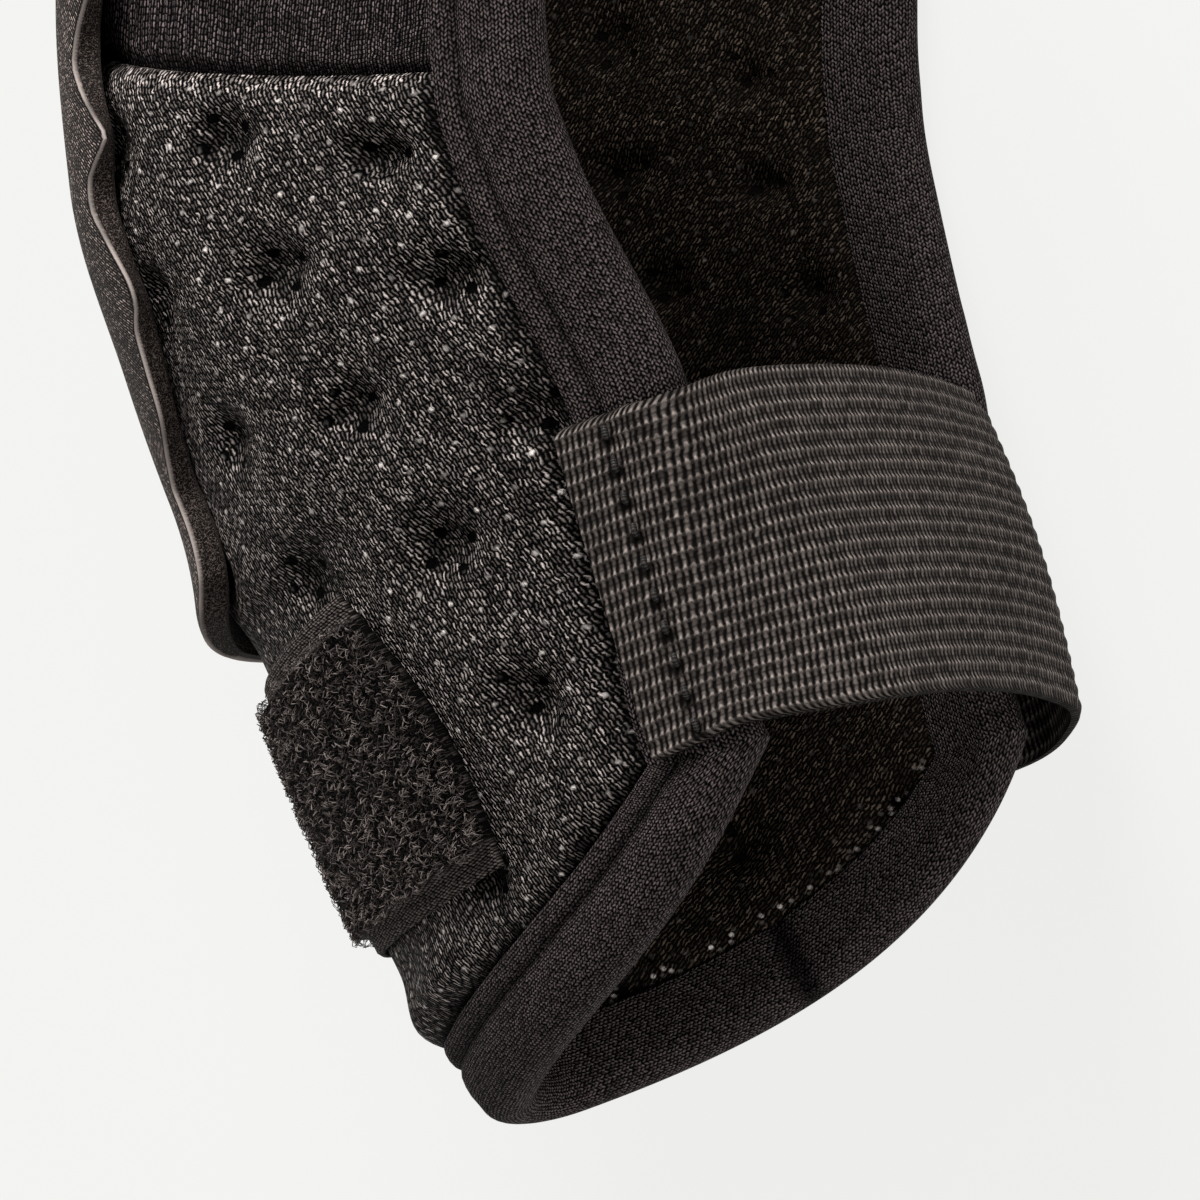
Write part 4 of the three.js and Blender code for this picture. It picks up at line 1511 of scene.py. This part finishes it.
    def build(self, form: WrapForm) -> bpy.types.Object:
        """Sweeps the tape round the outline.

        Args:
            form: The wrap's wall.

        Returns:
            The new piece.
        """
        section, stops = self.profile(), self.stops()
        around, along = self.places(form, stops, section[:, 0])
        off = np.broadcast_to(section[:, 1], around.shape).copy()
        edge = self.places(form, stops, np.array([self.run_inset]))
        run = lengths_along(form.wall(*(e[:, 0] for e in edge)))
        to_joint = np.minimum(run, run[-1] - run)[:, None]
        dip = self.joint_dip * (1 - smooth_step(0, self.joint_length, to_joint))
        off -= np.sign(off) * dip * (np.abs(off) > self.skin)
        folds = soft_noise(run[:, None], section[None, :, 0] * 2.0, self.gather_pitch, self.seed)
        off += np.sign(off) * (self.gather_height * folds) * (np.abs(off) > self.skin)
        points = form.place(around, along, off)
        sides = np.linalg.norm(np.diff(section, axis=0, append=section[:1]), axis=1)
        across = np.concatenate([[0], np.cumsum(sides)[:-1]])
        cloth = cloth_places(run[:, None], across[None, :])
        count = len(section)
        ends = [np.arange(count)[None, ::-1], np.arange(count)[None, :] + (len(stops) - 1) * count]
        faces = [grid_quads(len(stops), count, wrap=True), *ends]
        flat = points.reshape(-1, 3)
        # Crease mask: painted shade in the tape's groove and round its joint.
        crease = bell(section[:, 0], TAPE_GROOVE_IN, self.groove_width) * (section[:, 1] > 0)
        crease = np.maximum(crease[None, :], (1 - smooth_step(*self.joint_dark, to_joint)) * self.joint_shade)
        draft = MeshDraft(flat, faced_out(flat, faces), cloth.reshape(-1, 3), {"crease": crease})
        piece = settle(draft.object("edge_binding_tape"), self.finish.material(), self.node)
        return piece


@dataclass(frozen=True)
class CapRow:
    """Half widths of the cap at a distance from its middle: of its wavy face and of its plainer foot."""

    below: float
    face: float
    foot: float


CAP_OUTLINE = (
    CapRow(0, 44.2, 46.6), CapRow(4, 46.2, 46.9), CapRow(8, 49.0, 47.9), CapRow(12, 51.4, 48.7),
    CapRow(14, 49.6, 48.3), CapRow(17.2, 45.6, 47.2), CapRow(20.5, 44.7, 46.2), CapRow(24.5, 46.0, 45.8),
    CapRow(31.5, 47.2, 44.9), CapRow(34.6, 46.4, 44.6), CapRow(38.2, 42.9, 42.8), CapRow(43, 41.1, 40.8),
    CapRow(49.8, 38.4, 36.8), CapRow(55.6, 32.6, 33.4), CapRow(59, 29.7, 31.5), CapRow(64.6, 29.6, 31.2),
    CapRow(70, 28.6, 29.8), CapRow(75, 22.5, 24.5), CapRow(78, 11.0, 12.5),
)


@dataclass
class ElbowCap:
    """The stiff curved cap that stands on the back of the elbow."""

    finish: CapFinish
    node: str = "elbow_cap"
    middle: float = 9.0
    side_shift: float = -2.2
    thickness: float = 3.0
    stand_off: float = 0.5
    flare: float = 4.0
    flare_length: float = 20.0
    rows: int = 170
    columns: int = 110
    foam_fill: float = 0.45
    edge_round: float = 0.5
    lip_height: float = 0.22
    lip_at: tuple[float, float] = (0.12, 0.14)
    ripple_height: float = 0.12
    ripple_pitch: float = 16.0
    rim_ways: tuple[float, ...] = (0.08, 0.3, 0.6, 0.9)
    inset_limit: float = 6.0
    seed: int = 61
    tip_round: float = 3.4
    tip_length: float = 5.5

    def build(self, form: WrapForm) -> bpy.types.Object:
        """Builds the cap.

        Args:
            form: The wrap's wall.

        Returns:
            The new piece.
        """
        knots = np.array([r.below for r in CAP_OUTLINE], float)
        end = knots[-1]
        level = end * np.sin(np.pi / 2 * np.linspace(-1, 1, self.rows))[:, None]
        spread = np.sin(np.pi / 2 * np.linspace(-1, 1, self.columns))[None, :]
        half, foot = (smooth_table(np.abs(level), knots, np.array([getattr(r, key) for r in CAP_OUTLINE]))
                      for key in ("face", "foot"))
        around = self.side_shift + half * spread
        along = self.middle + level + 0 * spread
        to_tip = end - np.abs(level)
        inset = np.minimum(half * (1 - np.abs(spread)), to_tip)
        flare_share = np.maximum(0, 1 - to_tip / self.flare_length)
        rise = self.flare * flare_share**2
        under = PAD_OUTER + self.stand_off + rise * (1 - self.foam_fill) + 0 * spread
        rounding = self.edge_round * (1 - round_rise(inset, 0, self.edge_round))
        rounding = rounding + self.tip_round * (1 - round_rise(to_tip, 0, self.tip_length))
        lip = bell(inset, *self.lip_at)
        ripple = self.ripple_height * soft_noise(around, along, self.ripple_pitch, self.seed)
        top = PAD_OUTER + self.stand_off + rise + self.thickness - rounding + self.lip_height * lip + ripple
        below = form.place(self.side_shift + foot * spread, along, under)
        draft = slab(form.place(around, along, top), below, cloth_places(around, along),
                     {"inset": np.minimum(inset, self.inset_limit)}, self.rim_ways, self.thickness)
        return settle(draft.object("elbow_cap_shell"), self.finish.material(), self.node)


@dataclass(frozen=True)
class StrapRow:
    """One place on the strap's free run, from the upper wing's edge to the lower one's."""

    forward: float
    drop: float
    lateral: float


STRAP_RUN = (
    StrapRow(7, 2.6, 0.7), StrapRow(8.6, 2, 0.24), StrapRow(7.4, 1.6, -0.28), StrapRow(4.9, 1.9, -0.7),
    StrapRow(2.8, 2.7, -0.94), StrapRow(-1.6, 3.4, -1.1), StrapRow(-10, 4, -1.24),
)


@dataclass
class ForearmStrap:
    """The wide elastic strap, sewn to the upper wing and fastened to the loop patch."""

    finish: ElasticFinish
    thread: ThreadFinish
    node: str = "forearm_strap"
    width: float = 43.5
    thickness: float = 1.5
    ribs: int = 21
    rib_points: int = 8
    rib_height: float = 0.16
    cord_half: float = 0.42
    cord_power: float = 0.6
    edge_thinning: float = 0.5
    edge_length: float = 1.2
    bend_steps: int = 24
    stations: int = 180
    tilt: float = 24.0
    spread: float = 1.03
    top_along: float = 91.5
    top_around: float = 88.4
    hem_along: float = 138.0
    hem_around: float = 76.0
    top_drop: float = 2.0
    hem_drop: float = 1.5
    sewn_off: float = TAPE_FACE + 0.55
    wing_inset: float = 2.0
    bulge: float = 2.0
    corner: float = 1.4
    far_end: float = 46.0
    landing_in: float = 22.0
    landing_drop: float = 1.5
    patch_top: float = PAD_OUTER + SEAM_GAP + 2.6
    stitch_in: float = 6.8
    first_stitch: float = 2.35
    stitch_pitch: float = 4.3
    stitch_length: float = 1.9
    stitch_radius: float = 0.42
    stitch_around: float = 95.0
    stitch_rise: float = 0.35
    stitch_sink: float = 0.1
    stitch_points: int = 9
    stitch_sides: int = 8
    dent_depth: float = 0.5
    dent_width: float = 1.1

    def control(self, form: WrapForm, across: Array) -> Array:
        """Control points of the strap's inner face, for places across its width.

        Args:
            form: The wrap's wall.
            across: Distances from the strap's middle line.

        Returns:
            Points in millimetres, control by across by 3.
        """
        share = across / self.width + 0.5
        along = lerp(self.top_along, self.hem_along, share)
        half = form.half_length(along)
        rounding = 1 - round_rise(self.width / 2 - np.abs(across), 0, self.corner)
        sewn_end = lerp(self.top_around, self.hem_around, share) + self.corner * rounding
        edge_drop = lerp(self.top_drop, self.hem_drop, share)
        points = []
        for way in (0, 0.5, 1):
            level = along + edge_drop * way
            around = lerp(sewn_end, form.half_length(level) - self.wing_inset, way)
            points.append(form.off_wall(around, level, self.sewn_off))
        tilt = math.radians(self.tilt)
        forward = np.array([math.cos(tilt), math.sin(tilt), 0])
        down = np.array([math.sin(tilt), -math.cos(tilt), 0])
        centre = np.array([(self.top_along + self.hem_along) / 2])
        middle = form.wall(form.half_length(centre), centre)[0] * np.array([1, 1, 0])
        edge_half = form.wall(half, along)[:, 2]
        lowest = self.lowest(form) + self.thickness + self.rib_height
        for row in STRAP_RUN:
            reach = row.forward + self.bulge * max(0.0, -row.lateral) * np.sin(np.pi * share)
            point = middle + forward * reach[:, None] + down * (across * self.spread + row.drop)[:, None]
            point[:, 2] = np.maximum(row.lateral * (edge_half + self.sewn_off), lowest)
            points.append(point)
        landing = along + self.landing_drop
        landing_around = form.half_length(landing) - self.landing_in
        for way in (0, 0.35, 0.7, 1):
            around = -lerp(landing_around, self.far_end, way)
            points.append(form.off_wall(around, landing, self.patch_top + SEAM_GAP))
        return np.array(points)

    @staticmethod
    def lowest(form: WrapForm) -> float:
        """Height of the floor in the table's own frame."""
        return float(form.shift[2])

    def lines(self, form: WrapForm, across: Array) -> Array:
        """Evenly spaced points along the strap's inner face.

        Args:
            form: The wrap's wall.
            across: Distances from the strap's middle line.

        Returns:
            Points in millimetres, stations by across by 3.
        """
        control = self.control(form, across)
        control = np.concatenate([[2 * control[0] - control[1]], control, [2 * control[-1] - control[-2]]])
        gaps = np.maximum(np.linalg.norm(np.diff(control, axis=0), axis=-1), 1e-6) ** 0.5
        fine = []
        for k in range(1, len(control) - 2):
            d0, d1, d2 = (gaps[k + step][:, None] for step in (-1, 0, 1))
            a, b, c, d = control[k - 1 : k + 3]
            start = ((b - a) / d0 - (c - a) / (d0 + d1) + (c - b) / d1) * d1
            stop = ((c - b) / d1 - (d - b) / (d1 + d2) + (d - c) / d2) * d1
            for t in np.linspace(0, 1, self.bend_steps, endpoint=False):
                bend = (2 * t**3 - 3 * t**2 + 1) * b + (t**3 - 2 * t**2 + t) * start
                fine.append(bend + (3 * t**2 - 2 * t**3) * c + (t**3 - t**2) * stop)
        fine.append(control[-2])
        fine = np.array(fine)
        far = lengths_along(fine)
        made = np.zeros((self.stations, len(across), 3))
        for j in range(len(across)):
            wanted = np.linspace(0, far[-1, j], self.stations)
            for axis in range(3):
                made[:, j, axis] = np.interp(wanted, far[:, j], fine[:, j, axis])
        return made

    def build(self, form: WrapForm) -> list[bpy.types.Object]:
        """Builds the strap and its stitches.

        Args:
            form: The wrap's wall.

        Returns:
            The strap and its row of stitches.
        """
        count = self.ribs * self.rib_points + 1
        across = np.linspace(-self.width / 2, self.width / 2, count)
        inner = self.lines(form, across)
        outward = np.cross(np.gradient(inner, axis=1), np.gradient(inner, axis=0))
        outward /= np.linalg.norm(outward, axis=-1, keepdims=True)
        rib_place = (across + self.width / 2) * self.ribs / self.width
        cord = np.clip(1 - np.abs(rib_place % 1 - 0.5) * 2 / self.cord_half, 0, 1) ** self.cord_power
        lengths = lengths_along(inner)
        stitch_dent = self.dent_depth * bell(lengths, self.stitch_in, self.dent_width)
        edge_thin = 1 - round_rise(self.width / 2 - np.abs(across), 0, self.edge_length)
        rise = self.thickness + self.rib_height * cord - self.edge_thinning * edge_thin - stitch_dent
        outer = inner + outward * rise[..., None]
        outer[..., 2] = np.maximum(outer[..., 2], self.lowest(form))
        draft = slab(form.metres(outer), form.metres(inner), cloth_places(lengths, rib_place[None, :]), {})
        piece = draft.object("forearm_strap_elastic")
        settle(piece, self.finish.material(), self.node)
        stitches = self.stitches(form, outer, lengths)
        return [piece, stitches]

    def stitches(self, form: WrapForm, outer: Array, lengths: Array) -> bpy.types.Object:
        """Row of dark stitches that sews the strap to the upper wing.

        Args:
            form: The wrap's wall.
            outer: Points of the strap's outer face, stations by across.
            lengths: Distances from the sewn end, stations by across.

        Returns:
            The new piece.
        """
        line = np.array([[np.interp(self.stitch_in, lengths[:, j], outer[:, j, axis]) for axis in range(3)]
                         for j in range(outer.shape[1])])
        far = lengths_along(line)
        first = np.arange(self.first_stitch, far[-1] - self.stitch_length, self.stitch_pitch)
        step = np.linspace(0, 1, self.stitch_points)
        wanted = first[:, None] + step[None, :] * self.stitch_length
        made = np.stack([np.interp(wanted, far, line[:, axis]) for axis in range(3)], -1)
        along = lerp(self.top_along, self.hem_along, first / far[-1])
        up = form.outward(np.full(len(first), self.stitch_around), along)
        lift = self.stitch_rise * np.sin(np.pi * step) - self.stitch_sink
        made = made + up[:, None, :] * lift[None, :, None]
        radius = np.full(len(first), self.stitch_radius * MM)
        draft = tubes(form.metres(made), radius, self.stitch_sides, np.ones(len(first)))
        return settle(draft.object("strap_stitches", crease=None), self.thread.material())


@dataclass
class LoopPatch:
    """Loop tape round the back of the forearm: a woven backing with flat selvages and curly pile."""

    finish: PileFinish
    node: str = "loop_patch"
    top: float = 94.0
    bottom: float = 136.0
    near_end: float = 48.0
    back_rise: float = 7.0
    end_bow: float = 4.0
    far_column: float = -11.0
    column_count: float = 24.0
    thickness: float = 3.5
    backing: float = 0.9
    pile_base: float = 1.7
    selvage: float = 3.6
    rows: int = 60
    columns: int = 210
    cut_length: float = 2.6
    edge_drop: float = 0.4
    edge_length: float = 0.6
    foot_sink: float = 0.4
    loops: int = 7400
    loop_points: int = 5
    loop_sides: int = 3
    heading: float = 55.0
    heading_spread: float = 1.3
    spans: tuple[float, float] = (0.5, 1.3)
    heights: tuple[float, float] = (0.4, 1.0)
    curls: tuple[float, float] = (0.3, 0.7)
    radii: tuple[float, float] = (0.05, 0.08)
    shade_power: float = 2.3
    near_share: float = 0.8
    seed: int = 77

    def places(self, form: WrapForm, level_share: Array, run_share: Array) -> tuple[Array, Array]:
        """Cloth places on the tape.

        Args:
            form: The wrap's wall.
            level_share: Share of the way down the tape.
            run_share: Share of the way from the far end to the near end.

        Returns:
            The distances round and along.
        """
        level = lerp(self.top, self.bottom, level_share)
        pitch = 2 * (form.half_length(level) - PAD_BORDER) / self.column_count
        near = self.near_end + self.end_bow * np.sin(np.pi * level_share)
        around = lerp(self.far_column * pitch, near, run_share)
        back_share = np.maximum(0, 1 - np.maximum(around, 0) / self.near_end)
        return around, level - self.back_rise * back_share * level_share

    def build(self, form: WrapForm) -> list[bpy.types.Object]:
        """Builds the tape and its pile.

        Args:
            form: The wrap's wall.

        Returns:
            The backing and the loops.
        """
        share = np.linspace(0, 1, self.rows)[:, None]
        run = np.linspace(0, 1, self.columns)[None, :]
        around, along = self.places(form, share + 0 * run, run + 0 * share)
        width = self.bottom - self.top
        inset = width * np.minimum(share, 1 - share) + 0 * run
        pile = smooth_step(self.selvage - 0.4, self.selvage + 0.6, inset)
        under = PAD_OUTER + SEAM_GAP
        cut_end = round_rise(around[:, -1:] - around, 0, self.cut_length)
        drop = self.edge_drop * (1 - round_rise(inset, 0, self.edge_length))
        top = under + self.backing + self.pile_base * pile * cut_end - drop
        draft = slab(form.place(around, along, top), form.place(around, along, np.full_like(top, under)),
                     cloth_places(around, along), {"pile": pile})
        tape = settle(draft.object("loop_patch_tape"), self.finish.backing(), self.node)
        loops = self.pile(form)
        return [tape, loops]

    def pile(self, form: WrapForm) -> bpy.types.Object:
        """Curly loops that stand on the backing between the selvages.

        Args:
            form: The wrap's wall.

        Returns:
            The new piece.
        """
        rng = np.random.default_rng(self.seed)
        margin = self.selvage / (self.bottom - self.top)
        level = rng.uniform(margin * 0.9, 1 - margin * 0.9, self.loops)
        near = rng.uniform(0, 1, self.loops) < self.near_share
        run = np.where(near, rng.uniform(0.5, 1.004, self.loops), rng.uniform(0.004, 0.5, self.loops))
        around, along = self.places(form, level, run)
        heading = rng.normal(math.radians(self.heading), self.heading_spread, self.loops)
        span = rng.uniform(*self.spans, self.loops)
        tallest = self.thickness - self.backing - self.pile_base + self.foot_sink
        height = rng.uniform(*self.heights, self.loops) * tallest
        curl = rng.uniform(*self.curls, self.loops)
        phase = rng.uniform(0, 2 * np.pi, self.loops)
        t = np.linspace(0, 1, self.loop_points)[None, :]
        forth = (t - 0.5) * span[:, None]
        aside = curl[:, None] * np.sin(2 * np.pi * t + phase[:, None])
        du = forth * np.cos(heading)[:, None] - aside * np.sin(heading)[:, None]
        dv = forth * np.sin(heading)[:, None] + aside * np.cos(heading)[:, None]
        foot = PAD_OUTER + SEAM_GAP + self.backing + self.pile_base - self.foot_sink
        lift = foot + height[:, None] * np.sin(np.pi * t)
        lines = form.place(around[:, None] + du, along[:, None] + dv, lift)
        thick = rng.uniform(*self.radii, self.loops) * MM
        draft = tubes(lines, thick, self.loop_sides, rng.uniform(0, 1, self.loops) ** self.shade_power)
        return settle(draft.object("loop_patch_pile", crease=None), self.finish.strands())


@dataclass(frozen=True)
class SoftLight:
    """A square soft light: its direction from the target, distance and side in metres, power in watts."""

    name: str
    way: tuple[float, float, float]
    reach: float
    side: float
    power: float


LIGHTS = (
    SoftLight("key", (-0.1, 0.8, 0.6), reach=1.3, side=0.7, power=29.0),
    SoftLight("fill", (0.8, -0.35, 0.5), reach=1.4, side=0.9, power=11.0),
    SoftLight("rim", (-0.9, 0.1, 0.4), reach=1.3, side=0.6, power=5.0),
)


@dataclass
class Studio:
    """Pale floor, soft lights and the camera at the photograph's angle."""

    lean: float = 34.0
    distance: float = 1.0
    pixels_per_mm: float = 7.7
    image_side: float = 1200.0
    sensor: float = 36.0
    aim: tuple[float, float, float] = (93.99, -77.92, 0.0)
    floor_side: float = 8.0
    floor_tint: Colour = (0.06, 0.06, 0.059)
    floor_glow: Colour = (0.82, 0.82, 0.806)
    world_light: float = 0.18

    def axes(self) -> tuple[Vector, Vector, Vector]:
        """Directions of the picture.

        Returns:
            The picture's right and up, and the way to the camera.
        """
        lean = math.radians(self.lean)
        toward = Vector((math.sin(lean), 0, math.cos(lean)))
        up = Vector((0, 1, 0))
        return up.cross(toward), up, toward

    def camera(self, form: WrapForm) -> Vector:
        """Places the camera.

        Args:
            form: The wrap's wall.

        Returns:
            The point that the camera looks at.
        """
        right, up, toward = self.axes()
        target = Vector(form.metres(np.array(self.aim)))
        data = bpy.data.cameras.new("photo_camera")
        data.sensor_width = self.sensor
        view_side = self.image_side / self.pixels_per_mm * MM
        data.lens = self.sensor * self.distance / view_side
        data.clip_start, data.clip_end = 0.05, 50
        made = bpy.data.objects.new("photo_camera", data)
        turn = Matrix((right, up, toward)).transposed().to_4x4()
        made.matrix_world = Matrix.Translation(target + toward * self.distance) @ turn
        bpy.context.scene.collection.objects.link(made)
        bpy.context.scene.camera = made
        return target

    def floor(self) -> None:
        """Pale floor that the guard lies on."""
        side = self.floor_side / 2
        mesh = bpy.data.meshes.new("floor")
        corners = [(-side, -side, 0), (side, -side, 0), (side, side, 0), (-side, side, 0)]
        mesh.from_pydata(corners, [], [(0, 1, 2, 3)])
        made = bpy.data.objects.new("floor", mesh)
        bpy.context.scene.collection.objects.link(made)
        material = bpy.data.materials.new("pale_floor")
        material.use_nodes = True
        shader = material.node_tree.nodes["Principled BSDF"]
        values = {"Base Color": (*self.floor_tint, 1), "Roughness": 0.9, "Specular IOR Level": 0.0,
                  "Emission Color": (*self.floor_glow, 1), "Emission Strength": 1}
        for key, value in values.items():
            shader.inputs[key].default_value = value
        mesh.materials.append(material)

    @staticmethod
    def light(plan: SoftLight, target: Vector) -> None:
        """Adds a light.

        Args:
            plan: The light's place, size and power.
            target: Point that it shines at.
        """
        data = bpy.data.lights.new(plan.name, "AREA")
        data.shape = "SQUARE"
        data.size, data.energy = plan.side, plan.power
        made = bpy.data.objects.new(plan.name, data)
        way = Vector(plan.way).normalized()
        made.location = target + way * plan.reach
        made.rotation_mode = "QUATERNION"
        made.rotation_quaternion = (-way).to_track_quat("-Z", "Y")
        bpy.context.scene.collection.objects.link(made)

    def build(self, form: WrapForm) -> None:
        """Builds the floor, the lights and the camera.

        Args:
            form: The wrap's wall.
        """
        scene = bpy.context.scene
        scene.view_settings.view_transform = "Standard"
        target = self.camera(form)
        self.floor()
        for plan in LIGHTS:
            self.light(plan, target)
        world = bpy.data.worlds.new("studio")
        world.use_nodes = True
        background = world.node_tree.nodes["Background"]
        background.inputs["Color"].default_value = (*self.floor_glow, 1)
        background.inputs["Strength"].default_value = self.world_light
        scene.world = world


def main() -> None:
    """Builds the guard's pieces in order and reports each of them."""
    logging.basicConfig(level=logging.INFO, format="%(name)s: %(message)s")
    form = WrapForm(SECTIONS)
    Studio().build(form)
    mesh = SpacerMeshFinish()
    pieces = [
        PaddedPanel("forearm_pad", Hem.FOREARM, 165, 235, mesh, lining_rows=10).build(form),
        PaddedPanel("upper_arm_pad", Hem.UPPER, 90, 200, mesh, grain_origin=SECTIONS[0].x).build(form),
        FlexBand(RibKnitFinish()).build(form),
        EdgeBinding(JerseyFinish()).build(form),
        ElbowCap(CapFinish()).build(form),
        *ForearmStrap(ElasticFinish(), ThreadFinish()).build(form),
        *LoopPatch(PileFinish()).build(form),
    ]
    for piece in pieces:
        triangles = sum(len(p.vertices) - 2 for p in piece.data.polygons)
        LOG.info("%s: %d triangles", piece.name, triangles)


if __name__ == "__main__":
    main()
